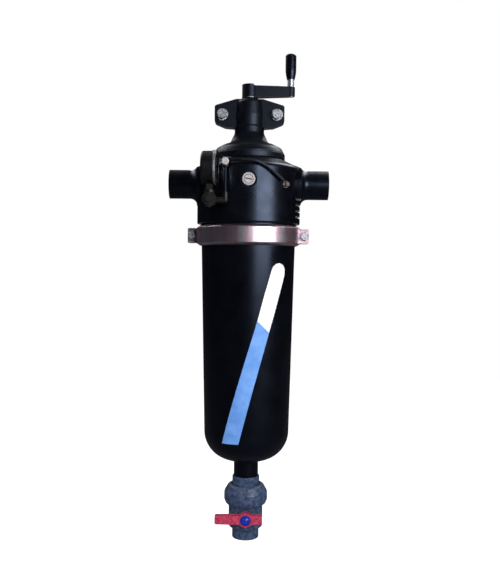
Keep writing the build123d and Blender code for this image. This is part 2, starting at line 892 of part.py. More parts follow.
# Bonnet: rim over the head's collar, dome, flared neck, spigot for the drive housing
bonnet_low = roof_edge_height + (head_r - bonnet_rim_r) * roof_rise + fitted_gap
rim_top = bonnet_low + bonnet_rim_height
bonnet_flat = collar_top + fitted_gap
dome_top = collar_top + dome_height
dome_inner = collar_top + 9
nut_boss_r = nut_pocket_r + nut_pocket_wall
with BuildPart() as bonnet:
    revolve(
        outline(
            (collar_r + fitted_gap, roof_top + fitted_gap),
            (collar_r + 1, roof_top + fitted_gap),
            (bonnet_rim_r, bonnet_low),
            (bonnet_rim_r, rim_top),
            (bonnet_rim_r - 1.6, rim_top),
            (bonnet_rim_r - 1.6, rim_top + 1.6),
            (collar_r + 2, collar_top + 13),
            (collar_r - 14, dome_top - 4),
            (neck_r + 9.4, dome_top),
            (neck_r, dome_top + 20),
            (neck_r, neck_shoulder),
            (neck_spigot_r, neck_shoulder),
            (neck_spigot_r, neck_top - neck_flange_height),
            (neck_flange_r, neck_top - neck_flange_height),
            (neck_flange_r, neck_top),
            (seal_bore_r, neck_top),
            (seal_bore_r, seal_shelf),
            (sleeve_r + 0.5, seal_shelf),
            (sleeve_r + 0.5, nut_pocket_top),
            (nut_pocket_r, nut_pocket_top),
            (nut_pocket_r, nut_pocket_low),
            (nut_boss_r, nut_pocket_low),
            (nut_boss_r + 2, dome_inner),
            (collar_bore_r - 7, dome_inner),
            (collar_bore_r - 5, bonnet_flat),
            (collar_r + fitted_gap, bonnet_flat),
            radii=[0, 0, 1.5, 1.5, 0, 0, 12, 14, 9, 12, 0, 0, 0, 0, 0, 0]
            + [0, 0, 0, 0, 0, 0, 2, 2, 0, 0],
        ),
        axis=Axis.Z,
    )
save(bonnet.part, "bonnet")

with BuildPart() as bonnet_seal:
    revolve(ring(collar_bore_r + 1.1, collar_bore_r + 3.9, collar_top - 3, collar_top), axis=Axis.Z)
save(bonnet_seal.part, "bonnet_seal")

# Feed nut in the bonnet, seals and bush round the drive sleeve
with BuildPart() as feed_nut:
    revolve(
        ring(
            scanner_thread_r + journal_gap,
            nut_pocket_r - fitted_gap,
            nut_pocket_low + 1,
            nut_pocket_top,
        ),
        axis=Axis.Z,
    )
save(feed_nut.part, "feed_nut")

seal_pitch = seal_height + 0.6
with BuildPart() as drive_seals:
    for level in (seal_shelf, seal_shelf + seal_pitch):
        revolve(
            ring(sleeve_r + journal_gap, seal_bore_r - fitted_gap, level, level + seal_height),
            axis=Axis.Z,
        )
save(drive_seals.part, "drive_seals")

bush_low = seal_shelf + 2 * seal_pitch
with BuildPart() as drive_bush:
    revolve(ring(sleeve_r + journal_gap, seal_bore_r - fitted_gap, bush_low, neck_top), axis=Axis.Z)
save(drive_bush.part, "drive_bush")

# Drive sleeve: hexagonal socket below, thrust collar, square end for the crank
square_top = crank_low + crank_hub_height - crank_cover
screw_r = 4.0
with BuildPart() as drive_sleeve:
    revolve(
        outline(
            (0, sleeve_low),
            (sleeve_r, sleeve_low),
            (sleeve_r, sleeve_collar_low),
            (sleeve_collar_r, sleeve_collar_low),
            (sleeve_collar_r, sleeve_collar_low + sleeve_collar_height),
            (sleeve_upper_r, sleeve_collar_low + sleeve_collar_height),
            (sleeve_upper_r, crank_low),
            (0, crank_low),
            radii=[0, 1, 0, 0, 0, 0, 0, 0],
        ),
        axis=Axis.Z,
    )
    with BuildSketch(Plane.XY.offset(crank_low)):
        Rectangle(sleeve_square, sleeve_square)
    extrude(amount=square_top - crank_low)
    extrude(
        hexagon(hex_flats, Plane.XY.offset(sleeve_low)),
        amount=hexagon_length,
        mode=Mode.SUBTRACT,
    )
    extrude(disc(screw_r, Plane.XY.offset(square_top)), amount=-18, mode=Mode.SUBTRACT)
save(drive_sleeve.part, "drive_sleeve")

# Split housing: two halves that grip the neck's flange and carry the sleeve's collar
housing_bore = [
    (0, neck_shoulder),
    (neck_spigot_r + fitted_gap, neck_shoulder),
    (neck_spigot_r + fitted_gap, neck_top - neck_flange_height - fitted_gap),
    (neck_flange_r + fitted_gap, neck_top - neck_flange_height - fitted_gap),
    (neck_flange_r + fitted_gap, neck_top + fitted_gap),
    (sleeve_r + running_gap, neck_top + fitted_gap),
    (sleeve_r + running_gap, sleeve_collar_low - fitted_gap),
    (sleeve_collar_r + running_gap, sleeve_collar_low - fitted_gap),
    (sleeve_collar_r + running_gap, sleeve_collar_low + sleeve_collar_height + fitted_gap),
    (sleeve_upper_r + journal_gap, sleeve_collar_low + sleeve_collar_height + fitted_gap),
    (sleeve_upper_r + journal_gap, housing_high + 3),
    (0, housing_high + 3),
]


def drive_housing(side):
    """One half of the split housing: side is -1 at the front and +1 at the back."""
    way = -side
    ear_low = ear_middle - ear_height / 2
    ear_high = ear_middle + ear_height / 2
    with BuildPart() as half:
        revolve(
            outline(
                (0, neck_shoulder),
                (neck_r, neck_shoulder),
                (neck_r, neck_shoulder + 4),
                (housing_barrel_r - 1, neck_shoulder + 7),
                (housing_barrel_r, ear_middle),
                (housing_barrel_r - housing_taper, housing_high - 6),
                (sleeve_upper_r + 5, housing_high),
                (sleeve_upper_r + 3, housing_high),
                (sleeve_upper_r + 3, housing_high + 3),
                (0, housing_high + 3),
                radii=[0, 0, 1, 1, 15, 6, 2, 0, 0, 0],
            ),
            axis=Axis.Z,
        )
        plate = outline(
            (-ear_reach, ear_low + 4),
            (-bolt_spacing / 2 + 6.5, ear_low - 5),
            (-neck_flange_r, neck_shoulder + 2),
            (neck_flange_r, neck_shoulder + 2),
            (bolt_spacing / 2 - 6.5, ear_low - 5),
            (ear_reach, ear_low + 4),
            (ear_reach, ear_high - 1),
            (housing_barrel_r - 2.5, housing_high - 1),
            (2.5 - housing_barrel_r, housing_high - 1),
            (-ear_reach, ear_high - 1),
            radii=[7, 4, 0, 0, 4, 7, 5, 2, 2, 5],
        )
        extrude(plate, amount=way * ear_thick)
        with BuildSketch(Plane.XZ.offset(way * ear_thick)):
            for bolt_x in (-bolt_spacing / 2, bolt_spacing / 2):
                with Locations((bolt_x, ear_middle)):
                    Circle(washer_r + 1.5)
        extrude(amount=way * ear_pad)
        with Locations((0, way * ear_reach, ear_middle)):
            Box(3 * ear_reach, 2 * ear_reach, 3 * ear_reach, mode=Mode.SUBTRACT)
        revolve(outline(*housing_bore), axis=Axis.Z, mode=Mode.SUBTRACT)
        with Locations((-bolt_spacing / 2, 0, ear_middle), (bolt_spacing / 2, 0, ear_middle)):
            Cylinder(bolt_r + 0.5, 100, rotation=(90, 0, 0), mode=Mode.SUBTRACT)
    return half.part


save(drive_housing(-1).mirror(Plane.XZ), "drive_housing_rear")
save(drive_housing(-1), "drive_housing_front")

bolt_seat = ear_thick + ear_pad
with BuildPart() as housing_washers:
    for x in (-bolt_spacing / 2, bolt_spacing / 2):
        for way in (-1, 1):
            washer = disc(washer_r, facing(way * bolt_seat, x=x, z=ear_middle), inner=bolt_r + 0.4)
            extrude(washer, amount=-way * washer_height)
save(housing_washers.part, "housing_washers")

with BuildPart() as housing_bolts:
    for x in (-bolt_spacing / 2, bolt_spacing / 2):
        head_face = -bolt_seat - washer_height
        extrude(hexagon(bolt_flats, facing(head_face, x=x, z=ear_middle)), amount=bolt_head_height)
        extrude(disc(bolt_r, facing(head_face, x=x, z=ear_middle)), amount=2 * head_face - 14)
save(housing_bolts.part, "housing_bolts")

with BuildPart() as housing_nuts:
    for x in (-bolt_spacing / 2, bolt_spacing / 2):
        nut_plane = facing(bolt_seat + washer_height, x=x, z=ear_middle)
        extrude(hexagon(bolt_flats, nut_plane, bore=bolt_r + seal_gap), amount=-10)
save(housing_nuts.part, "housing_nuts")

# Crank arm: hub, tapered arm, spindle boss, cut from its side view by its plan
with BuildSketch(Plane.XY.offset(crank_low)) as crank_plan:
    Circle(crank_hub_r)
    with BuildLine():
        Polyline(
            (0, -crank_root_width / 2),
            (crank_radius, -crank_tip_r + 0.5),
            (crank_radius, crank_tip_r - 0.5),
            (0, crank_root_width / 2),
            close=True,
        )
    make_face()
    with Locations((crank_radius, 0)):
        Circle(crank_tip_r)

with BuildPart() as crank_arm:
    side_view = outline(
        (-crank_hub_r - 1, crank_low),
        (crank_hub_r / 2, crank_low),
        (crank_radius + crank_tip_r, crank_low + 3),
        (crank_radius + crank_tip_r, crank_low + crank_tip_height),
        (crank_hub_r / 2, crank_low + crank_hub_height - 2.5),
        (crank_hub_r / 2, crank_low + crank_hub_height),
        (-crank_hub_r - 1, crank_low + crank_hub_height),
        radii=[0, 0, 2, 2, 2, 0, 0],
    )
    extrude(side_view, amount=crank_hub_r + 5, both=True)
    extrude(crank_plan.sketch, amount=crank_hub_height, mode=Mode.INTERSECT)
    with BuildSketch(Plane.XY.offset(crank_low)):
        Rectangle(sleeve_square + 2 * fitted_gap, sleeve_square + 2 * fitted_gap)
    extrude(amount=square_top - crank_low + fitted_gap, mode=Mode.SUBTRACT)
    extrude(disc(7, Plane.XY.offset(square_top)), amount=crank_cover, mode=Mode.SUBTRACT)
    tip_plane = Plane((crank_radius, 0, crank_low))
    extrude(
        disc(spindle_root_r + fitted_gap, tip_plane),
        amount=crank_hub_height,
        mode=Mode.SUBTRACT,
    )
save(crank_arm.part, "crank_arm")

with BuildPart() as crank_screw:
    extrude(hexagon(12, Plane.XY.offset(square_top + fitted_gap)), amount=crank_cover - 1.5)
    extrude(disc(screw_r - fitted_gap, Plane.XY.offset(square_top + fitted_gap)), amount=-16)
save(crank_screw.part, "crank_screw")

# Spindle and the grip that turns on it
spindle_low = crank_low + crank_tip_height - 0.5
grip_low = spindle_low + spindle_height + running_gap
pin_top = grip_low + grip_height - 9
with BuildPart() as grip_spindle:
    revolve(
        outline(
            (0, crank_low + 2),
            (spindle_root_r, crank_low + 2),
            (spindle_root_r, spindle_low + 1),
            (spindle_r, spindle_low + 1),
            (spindle_r, spindle_low + spindle_height),
            (spindle_pin_r, spindle_low + spindle_height),
            (spindle_pin_r, pin_top + 0.5),
            (spindle_pin_r + 2, pin_top + 0.5),
            (spindle_pin_r + 2, pin_top + 3.5),
            (0, pin_top + 3.5),
        ),
        axis=Axis.Z,
    )
save(grip_spindle.part.translate((crank_radius, 0, 0)), "grip_spindle")

grip_top = grip_low + grip_height
grip_bore_r = spindle_pin_r + journal_gap
grip_socket_r = spindle_pin_r + 2.5
grip_waist = grip_low + 0.42 * grip_height
with BuildPart() as grip:
    with BuildSketch(Plane.XZ):
        with BuildLine():
            Line((grip_bore_r, grip_low), (grip_r - 3.1, grip_low))
            Spline(
                (grip_r - 3.1, grip_low),
                (grip_r - 1.2, grip_low + 9),
                (grip_r, grip_waist),
                tangents=((1, 5), (0, 1)),
            )
            Line((grip_r, grip_waist), (grip_r, grip_top - 4))
            RadiusArc((grip_r, grip_top - 4), (grip_r - 4, grip_top), -4)
            Line((grip_r - 4, grip_top), (grip_socket_r, grip_top))
            Line((grip_socket_r, grip_top), (grip_socket_r, pin_top))
            Line((grip_socket_r, pin_top), (grip_bore_r, pin_top))
            Line((grip_bore_r, pin_top), (grip_bore_r, grip_low))
        make_face()
    revolve(axis=Axis.Z)
save(grip.part.translate((crank_radius, 0, 0)), "grip")

with BuildPart() as grip_cap:
    revolve(
        outline(
            (0, pin_top + 5),
            (grip_socket_r - fitted_gap, pin_top + 5),
            (grip_socket_r - fitted_gap, grip_top),
            (grip_socket_r - 1.5, grip_top + 0.6),
            (0, grip_top + 0.8),
        ),
        axis=Axis.Z,
    )
save(grip_cap.part.translate((crank_radius, 0, 0)), "grip_cap")

# Scanner: hexagonal top, feed screw and hollow tube in one, with its suction nozzles
def nozzle_plane(number):
    """A plane on the scanner's axis that faces out along one of its nozzles."""
    turn = radians(120 * number)
    return Plane(
        (0, 0, nozzle_low + number * scanner_travel),
        x_dir=(-sin(turn), cos(turn), 0),
        z_dir=(cos(turn), sin(turn), 0),
    )


hexagon_low = sleeve_low + 1.5
hexagon_high = hex_top - scanner_travel - 2
tube_top = nut_pocket_low - scanner_travel - 1
tube_low = bowl_corner_height + scanner_tube_foot
bore_top = nozzle_low + (nozzle_count - 1) * scanner_travel + 12
nozzle_bore_r = 5.0
with BuildPart() as scanner_shaft:
    revolve(
        outline(
            (scanner_tube_bore_r, tube_low),
            (scanner_tube_r, tube_low),
            (scanner_tube_r, tube_top),
            (scanner_thread_r, tube_top),
            (scanner_thread_r, hexagon_low),
            (0, hexagon_low),
            (0, bore_top + 10),
            (scanner_tube_bore_r, bore_top),
        ),
        axis=Axis.Z,
    )
    extrude(
        hexagon(hex_flats - 2 * fitted_gap, Plane.XY.offset(hexagon_low)),
        amount=hexagon_high - hexagon_low,
    )
    for number in range(nozzle_count):
        extrude(
            disc(nozzle_bore_r, nozzle_plane(number)),
            amount=scanner_tube_r + 2,
            mode=Mode.SUBTRACT,
        )
save(scanner_shaft.part, "scanner_shaft")

nozzle_tip_r = screen_r - screen_wall - 1.5
clip_r = scanner_tube_r + 5
with BuildPart() as suction_nozzles:
    for number in range(nozzle_count):
        port = nozzle_plane(number)
        extrude(disc(clip_r, Plane(port.origin)), amount=11, both=True)
        extrude(disc(7.5, port), amount=nozzle_tip_r - 6)
        with BuildSketch(port.offset(nozzle_tip_r - 12)):
            Circle(7.5)
        with BuildSketch(port.offset(nozzle_tip_r)):
            Rectangle(11, 2 * nozzle_r)
        loft()
    extrude(
        disc(scanner_tube_r + fitted_gap, Plane.XY),
        amount=head_low,
        mode=Mode.SUBTRACT,
    )
    for number in range(nozzle_count):
        extrude(
            disc(nozzle_bore_r, nozzle_plane(number)),
            amount=nozzle_tip_r + 1,
            mode=Mode.SUBTRACT,
        )
save(suction_nozzles.part, "suction_nozzles")

# Standpipe in the bottom of the bowl, with the bush that guides the scanner's tube
bush_r = scanner_tube_r + bush_wall
with BuildPart() as standpipe:
    revolve(
        outline(
            (scanner_tube_r + 1, standpipe_low),
            (standpipe_seat_r - fitted_gap, standpipe_low),
            (standpipe_seat_r - fitted_gap, standpipe_low + 8),
            (bush_r + standpipe_wall, standpipe_low + 12),
            (bush_r + standpipe_wall, screen_low - 8),
            (bush_r + 12.5, screen_low - 4),
            (bush_r + 12.5, screen_low),
            (bush_r, screen_low),
            (bush_r, screen_low - bush_height),
            (scanner_tube_r + 1, screen_low - bush_height),
        ),
        axis=Axis.Z,
    )
save(standpipe.part, "standpipe")

with BuildPart() as scanner_bush:
    revolve(
        ring(
            scanner_tube_r + journal_gap,
            bush_r - fitted_gap,
            screen_low - bush_height,
            screen_low,
        ),
        axis=Axis.Z,
    )
save(scanner_bush.part, "scanner_bush")

# Screen: cage with windows, fine mesh inside it, an end ring at the top and an end cap below
cage_low = screen_low + 10
cage_high = screen_high - 20
with BuildPart() as screen_cage:
    revolve(
        ring(screen_r - screen_wall / 2, screen_r + screen_wall / 2, cage_low, cage_high),
        axis=Axis.Z,
    )
    window_pitch = (cage_high - cage_low - 12) / screen_rows
    window_width = 2 * screen_r * sin(radians(180 / screen_columns)) - 12
    for row in range(screen_rows):
        middle = cage_low + 6 + (row + 0.5) * window_pitch
        for column in range(screen_columns // 2):
            turn = 360.0 / screen_columns * column
            with BuildSketch(Plane.XZ.rotated((0, 0, turn)).offset(-screen_r - 10)):
                with Locations((0, middle)):
                    Rectangle(window_width, window_pitch - 8)
            extrude(amount=2 * screen_r + 20, mode=Mode.SUBTRACT)
save(screen_cage.part, "screen_cage")

mesh_out = screen_r - screen_wall / 2 - fitted_gap
with BuildPart() as screen_mesh:
    revolve(ring(mesh_out - mesh_wall, mesh_out, cage_low, cage_high), axis=Axis.Z)
save(screen_mesh.part, "screen_mesh")

with BuildPart() as screen_end_cap:
    revolve(
        outline(
            (scanner_tube_r + 1, screen_low),
            (screen_r + 3, screen_low),
            (screen_r + 3, cage_low + 8),
            (screen_r + screen_wall / 2 + fitted_gap, cage_low + 8),
            (screen_r + screen_wall / 2 + fitted_gap, cage_low),
            (mesh_out - mesh_wall - 4, cage_low),
            (mesh_out - mesh_wall - 4, screen_low + 5),
            (scanner_tube_r + 1, screen_low + 5),
        ),
        axis=Axis.Z,
    )
save(screen_end_cap.part, "screen_end_cap")

with BuildPart() as screen_top_ring:
    revolve(
        outline(
            (mesh_out - mesh_wall, cage_high),
            (screen_r + screen_wall / 2 + fitted_gap, cage_high),
            (screen_r + screen_wall / 2 + fitted_gap, cage_high - 8),
            (screen_socket_r - fitted_gap, cage_high - 8),
            (screen_socket_r - fitted_gap, cage_high + 6),
            (screen_socket_r - 3, cage_high + 6),
            (screen_socket_r - 3, cage_high + 11),
            (screen_socket_r - fitted_gap, cage_high + 11),
            (screen_socket_r - fitted_gap, screen_high),
            (mesh_out - mesh_wall, screen_high),
        ),
        axis=Axis.Z,
    )
save(screen_top_ring.part, "screen_top_ring")

with BuildPart() as screen_seal:
    revolve(
        ring(
            screen_socket_r - 3 + fitted_gap,
            screen_socket_r - seal_gap,
            cage_high + 6.5,
            cage_high + 10.5,
        ),
        axis=Axis.Z,
    )
save(screen_seal.part, "screen_seal")

# Pressure gauge: case with its stem, dial, pointer, window and bezel. Its face looks along +X,
# turned a little to the front. Local x is out of the face and local y is up.
face_x = cos(radians(gauge_turn))
face_y = -sin(radians(gauge_turn))
gauge_plane = Plane(
    (gauge_x, gauge_y, gauge_height),
    x_dir=(face_x, face_y, 0),
    z_dir=(face_y, -face_x, 0),
)
gauge_axis = Axis((gauge_x, gauge_y, gauge_height), (face_x, face_y, 0))
gauge_back = -gauge_thick / 2
gauge_front = gauge_thick / 2
case_r = gauge_r - 1.6
dial_face = 5.0
dial_thick = 1.2
window_thick = 2.0
window_seat = gauge_front - 1 - window_thick
window_r = case_r - 2.5
arbor_r = 1.2
with BuildPart() as gauge_case:
    revolve(
        outline(
            (gauge_back, 0),
            (gauge_back, case_r),
            (window_seat, case_r),
            (window_seat, window_r),
            (dial_face - dial_thick, window_r),
            (dial_face - dial_thick, 0),
            radii=[0, 4, 0, 0, 0, 0],
            plane=gauge_plane,
        ),
        axis=gauge_axis,
    )
    stem_foot = selector_height + selector_r + selector_collar
    with BuildSketch(Plane((gauge_x, gauge_y, stem_foot))):
        Rectangle(gauge_stem_square, gauge_stem_square)
    extrude(amount=gauge_height - case_r - stem_foot + 1.5)
    extrude(disc(tap_r, Plane((gauge_x, gauge_y, stem_foot))), amount=-tap_length)
    arbor_hole = Plane(gauge_plane.from_local_coords((dial_face, 0)), z_dir=(face_x, face_y, 0))
    extrude(disc(arbor_r + journal_gap, arbor_hole), amount=-8, mode=Mode.SUBTRACT)
save(gauge_case.part, "gauge_case")

with BuildPart() as gauge_dial:
    revolve(
        outline(
            (dial_face - dial_thick, arbor_r + 0.4),
            (dial_face - dial_thick, window_r - fitted_gap),
            (dial_face, window_r - fitted_gap),
            (dial_face, arbor_r + 0.4),
            plane=gauge_plane,
        ),
        axis=gauge_axis,
    )
save(gauge_dial.part, "gauge_dial")

with BuildPart() as gauge_window:
    revolve(
        outline(
            (window_seat, 0),
            (window_seat, case_r - 1),
            (window_seat + window_thick, case_r - 1),
            (window_seat + window_thick, 0),
            plane=gauge_plane,
        ),
        axis=gauge_axis,
    )
save(gauge_window.part, "gauge_window")

with BuildPart() as gauge_bezel:
    revolve(
        outline(
            (gauge_front - 8, case_r + fitted_gap),
            (gauge_front - 8, gauge_r),
            (gauge_front, gauge_r),
            (gauge_front, case_r - 3),
            (gauge_front - 1, case_r - 3),
            (gauge_front - 1, case_r + fitted_gap),
            radii=[0, 0, 1.5, 0, 0, 0],
            plane=gauge_plane,
        ),
        axis=gauge_axis,
    )
save(gauge_bezel.part, "gauge_bezel")

# The pointer stands at zero, low on the left of the dial
needle_plane = Plane(
    gauge_plane.from_local_coords((dial_face + 1.5, 0)),
    x_dir=(-face_y * sin(radians(45)), face_x * sin(radians(45)), -cos(radians(45))),
    z_dir=(face_x, face_y, 0),
)
needle_points = [
    (-needle_length / 3, -1.6),
    (-needle_length / 3, 1.6),
    (0, 1.3),
    (needle_length, 0.35),
    (needle_length, -0.35),
    (0, -1.3),
]
with BuildPart() as gauge_needle:
    with BuildSketch(needle_plane):
        with BuildLine():
            Polyline(*needle_points, close=True)
        make_face()
        Circle(3.2)
    extrude(amount=0.9)
    extrude(disc(arbor_r, needle_plane), amount=-5)
save(gauge_needle.part, "gauge_needle")

# Selector valve under the gauge, with an arm and an upright socket for the short tube
arm_r = 6.5
socket_foot = selector_height + arm_r + 1.5
spigot_seat = tap_length + 0.5
knob_pin_r = 4.0
with BuildPart() as selector_body:
    extrude(
        disc(selector_r, facing(selector_back, x=gauge_x, z=selector_height)),
        amount=selector_back - selector_front,
    )
    extrude(
        disc(tap_r, facing(selector_back, x=gauge_x, z=selector_height)),
        amount=-tap_length - 1,
    )
    extrude(
        disc(tap_r + 5, Plane((gauge_x, gauge_y, selector_height))),
        amount=selector_r + selector_collar,
    )
    arm_plane = Plane((gauge_x, tee_y, selector_height), x_dir=(0, 1, 0), z_dir=(1, 0, 0))
    extrude(disc(arm_r, arm_plane), amount=tee_x - gauge_x)
    with Locations((tee_x, tee_y, selector_height)):
        Sphere(arm_r)
    extrude(disc(arm_r - 0.5, Plane((tee_x, tee_y, selector_height))), amount=16)
    extrude(
        disc(tap_r + fitted_gap, Plane((gauge_x, gauge_y, stem_foot))),
        amount=-spigot_seat,
        mode=Mode.SUBTRACT,
    )
    extrude(
        disc(tube_r + fitted_gap, Plane((tee_x, tee_y, socket_foot))),
        amount=20,
        mode=Mode.SUBTRACT,
    )
    extrude(
        disc(knob_pin_r + journal_gap, facing(selector_front, x=gauge_x, z=selector_height)),
        amount=-14,
        mode=Mode.SUBTRACT,
    )
save(selector_body.part, "selector_body")

with BuildPart() as selector_knob:
    knob_back = selector_front - running_gap
    extrude(disc(selector_knob_r, facing(knob_back, x=gauge_x, z=selector_height)), amount=4)
    with BuildSketch(facing(knob_back - 4, x=gauge_x, z=selector_height)):
        Circle(7)
        with Locations((0, 4.5)):
            Rectangle(5, 14)
    extrude(amount=6)
    extrude(disc(knob_pin_r, facing(knob_back, x=gauge_x, z=selector_height)), amount=-13)
save(selector_knob.part, "selector_knob")

# Tee screwed into the head's shoulder
tee_outlet_height = tee_high - 6.5
tee_socket = 8.0
tee_outlet = Plane(
    (tee_x, tee_y, tee_outlet_height),
    x_dir=(0, 0, 1),
    z_dir=(-tee_y, tee_x, 0),
)
with BuildPart() as tube_tee:
    extrude(disc(tee_r, Plane((tee_x, tee_y, tee_low))), amount=tee_height)
    fillet(faces().sort_by(Axis.Z)[-1].edges(), radius=2)
    extrude(disc(tap_r, tee_tap.offset(tee_r)), amount=-tee_r - 6)
    extrude(disc(5.5, tee_outlet), amount=13)
    extrude(disc(tube_r + fitted_gap, tee_outlet.offset(6)), amount=10, mode=Mode.SUBTRACT)
    extrude(
        disc(tube_r + fitted_gap, Plane((tee_x, tee_y, tee_low))),
        amount=tee_socket,
        mode=Mode.SUBTRACT,
    )
save(tube_tee.part, "tube_tee")

short_low = socket_foot + fitted_gap
with BuildPart() as short_tube:
    short_section = disc(tube_r, Plane((tee_x, tee_y, short_low)), inner=tube_bore_r)
    extrude(short_section, amount=tee_low + tee_socket - fitted_gap - short_low)
save(short_tube.part, "short_tube")

# The long tube leaves the tee, passes under the bonnet's rim and comes down to the elbow
tube_start = tee_outlet.from_local_coords((0, 0, 6 + fitted_gap))
tube_bend = tee_outlet.from_local_coords((0, 0, 27))
tube_route = [
    tube_start,
    tube_bend,
    (13.0, -113.8, 777.5),
    (38.0, -106.5, 765.0),
    (55.0, -98.4, 751.5),
    (67.5, -91.6, 741.8),
]


def corner_radii(route):
    """The largest even radius at each corner of a route, limited by its shorter run."""
    radii = []
    for before, corner, after in zip(route, route[1:], route[2:]):
        run_in = Vector(corner) - Vector(before)
        run_out = Vector(after) - Vector(corner)
        half_turn = radians(run_in.get_angle(run_out)) / 2
        radii.append(0.45 * min(run_in.length, run_out.length) / tan(half_turn))
    return radii


tube_radii = corner_radii(tube_route)
print("long tube radii", [round(radius) for radius in tube_radii])
with BuildPart() as long_tube:
    with BuildLine() as tube_line:
        FilletPolyline(*tube_route, radius=tube_radii)
    tube_end = Plane(tube_line.line @ 0, z_dir=tube_line.line % 0)
    with BuildSketch(tube_end):
        Circle(tube_r)
        Circle(tube_bore_r, mode=Mode.SUBTRACT)
    sweep(path=tube_line.line)
tube_area = pi * (tube_r**2 - tube_bore_r**2)
tube_length = sum(edge.length for edge in tube_line.edges())
print("long tube volume", long_tube.part.volume, "section by length", tube_area * tube_length)
save(long_tube.part, "long_tube")

tube_tip = Vector(tube_route[-1])
tube_heading = (tube_tip - Vector(tube_route[-2])).normalized()
collar_plane = Plane(tube_tip - tube_heading * 9, z_dir=tube_heading)
elbow_centre = Vector(elbow_x, elbow_y, elbow_height)
with BuildPart() as tube_elbow:
    extrude(disc(6, collar_plane), amount=(elbow_centre - collar_plane.origin).length)
    with Locations(elbow_centre):
        Sphere(elbow_r)
    extrude(disc(tap_r, elbow_tap.offset(10)), amount=-16)
    extrude(hexagon(14, elbow_tap.offset(0.3)), amount=4)
    extrude(disc(tube_r + fitted_gap, collar_plane), amount=9 + fitted_gap, mode=Mode.SUBTRACT)
save(tube_elbow.part, "tube_elbow")
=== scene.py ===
import json
import math

import bmesh
import bpy
from mathutils import Matrix, Vector


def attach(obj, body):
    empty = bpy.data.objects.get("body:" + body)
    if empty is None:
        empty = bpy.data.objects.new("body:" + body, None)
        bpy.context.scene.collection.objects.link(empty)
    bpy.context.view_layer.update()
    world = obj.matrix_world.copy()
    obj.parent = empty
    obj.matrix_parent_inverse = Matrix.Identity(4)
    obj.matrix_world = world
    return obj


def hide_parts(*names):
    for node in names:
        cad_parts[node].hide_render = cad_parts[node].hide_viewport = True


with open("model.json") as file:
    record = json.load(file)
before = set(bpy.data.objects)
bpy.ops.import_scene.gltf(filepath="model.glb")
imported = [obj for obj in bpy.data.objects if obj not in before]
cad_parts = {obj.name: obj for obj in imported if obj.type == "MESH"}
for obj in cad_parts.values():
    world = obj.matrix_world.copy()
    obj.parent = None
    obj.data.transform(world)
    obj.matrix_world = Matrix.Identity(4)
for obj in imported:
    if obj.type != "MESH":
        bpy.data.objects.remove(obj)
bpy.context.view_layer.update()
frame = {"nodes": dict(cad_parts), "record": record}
cadNodes = frame["nodes"]
scene = bpy.context.scene
scene.view_settings.view_transform = "Standard"
print("loaded", len(cadNodes), "nodes")

# camera, floor and lamps; metres, degrees, watts
cameraSetup = {
    "place": (0.0047, -1.541, 0.571),
    "tilt": -1.81,  # below level
    "roll": 0.6,
    "lens": 45.56,
}
floorSetup = {
    "height": -0.36,
    "size": 9.0,
    "colour": (0.45, 0.455, 0.46, 1),
    "rough": 0.9,
    "lift": 0.9,  # own light that the camera and glass see
    "mirrored": 0.02,  # share of it that polished surfaces see
    "mirroredColour": (0.04, 0.042, 0.05, 1),
}
lampSetup = {
    "rightBox": {
        "place": (1.11, -1.58, 0.93), "aim": (0, 0, 0.7), "size": (1.25, 0.72), "watts": 25,
    },
    "topRight": {
        "place": (1.0, 0.9, 2.2), "aim": (0, 0, 0.8), "size": (1.3, 1.2), "watts": 26,
    },
    "topLeft": {
        "place": (-1.1, 0.8, 2.1), "aim": (0, 0, 0.8), "size": (1.1, 1.1), "watts": 14,
    },
    "frontFill": {
        "place": (-0.5, -2.3, 1.5), "aim": (0, 0, 0.5), "size": (1.8, 1.8), "watts": 27,
        "mirrored": False,  # polished surfaces don't show it
    },
}
roomSetup = {
    "front": (0.014, 0.015, 0.02, 1),  # what polished surfaces see before the object
    "behind": (1, 1, 1, 1),
    "backdropEdge": (0.975, 1.0),  # where the one passes into the other
    "fill": (0.4, 0.41, 0.43, 1),  # light from all round
}


def makeCamera(values):
    data = bpy.data.cameras.new("photoCamera")
    data.sensor_width = 36
    data.lens = values["lens"]
    camera = bpy.data.objects.new("photoCamera", data)
    scene.collection.objects.link(camera)
    pitch = Matrix.Rotation(math.radians(90 + values["tilt"]), 4, "X")
    roll = Matrix.Rotation(math.radians(values["roll"]), 4, "Z")
    camera.matrix_world = Matrix.Translation(values["place"]) @ pitch @ roll
    scene.camera = camera


def makeLamp(name, values):
    data = bpy.data.lights.new(name, "AREA")
    data.shape = "RECTANGLE"
    data.size, data.size_y = values["size"]
    data.energy = values["watts"]
    lamp = bpy.data.objects.new(name, data)
    lamp.visible_glossy = values.get("mirrored", True)
    scene.collection.objects.link(lamp)
    place = Vector(values["place"])
    turn = (place - Vector(values["aim"])).to_track_quat("Z", "Y")
    lamp.matrix_world = Matrix.Translation(place) @ turn.to_matrix().to_4x4()


def put(tree, kind, **settings):
    node = tree.nodes.new("ShaderNode" + kind)
    for name, value in settings.items():
        setattr(node, name, value)
    return node


def feed(tree, value, socket):
    # a socket is linked, anything else becomes the socket's own value
    if isinstance(value, bpy.types.NodeSocket):
        tree.links.new(value, socket)
    elif isinstance(value, (tuple, list)) and len(value) == 3 and socket.type == "RGBA":
        socket.default_value = (*value, 1)
    else:
        socket.default_value = value


def maths(tree, operation, first, second=0.0, clamp=False):
    node = put(tree, "Math", operation=operation, use_clamp=clamp)
    feed(tree, first, node.inputs[0])
    feed(tree, second, node.inputs[1])
    return node.outputs[0]


def spread(tree, value, fromLow, fromHigh, toLow, toHigh):
    node = put(tree, "MapRange", clamp=True)
    for socket, number in zip(node.inputs, (value, fromLow, fromHigh, toLow, toHigh)):
        feed(tree, number, socket)
    return node.outputs[0]


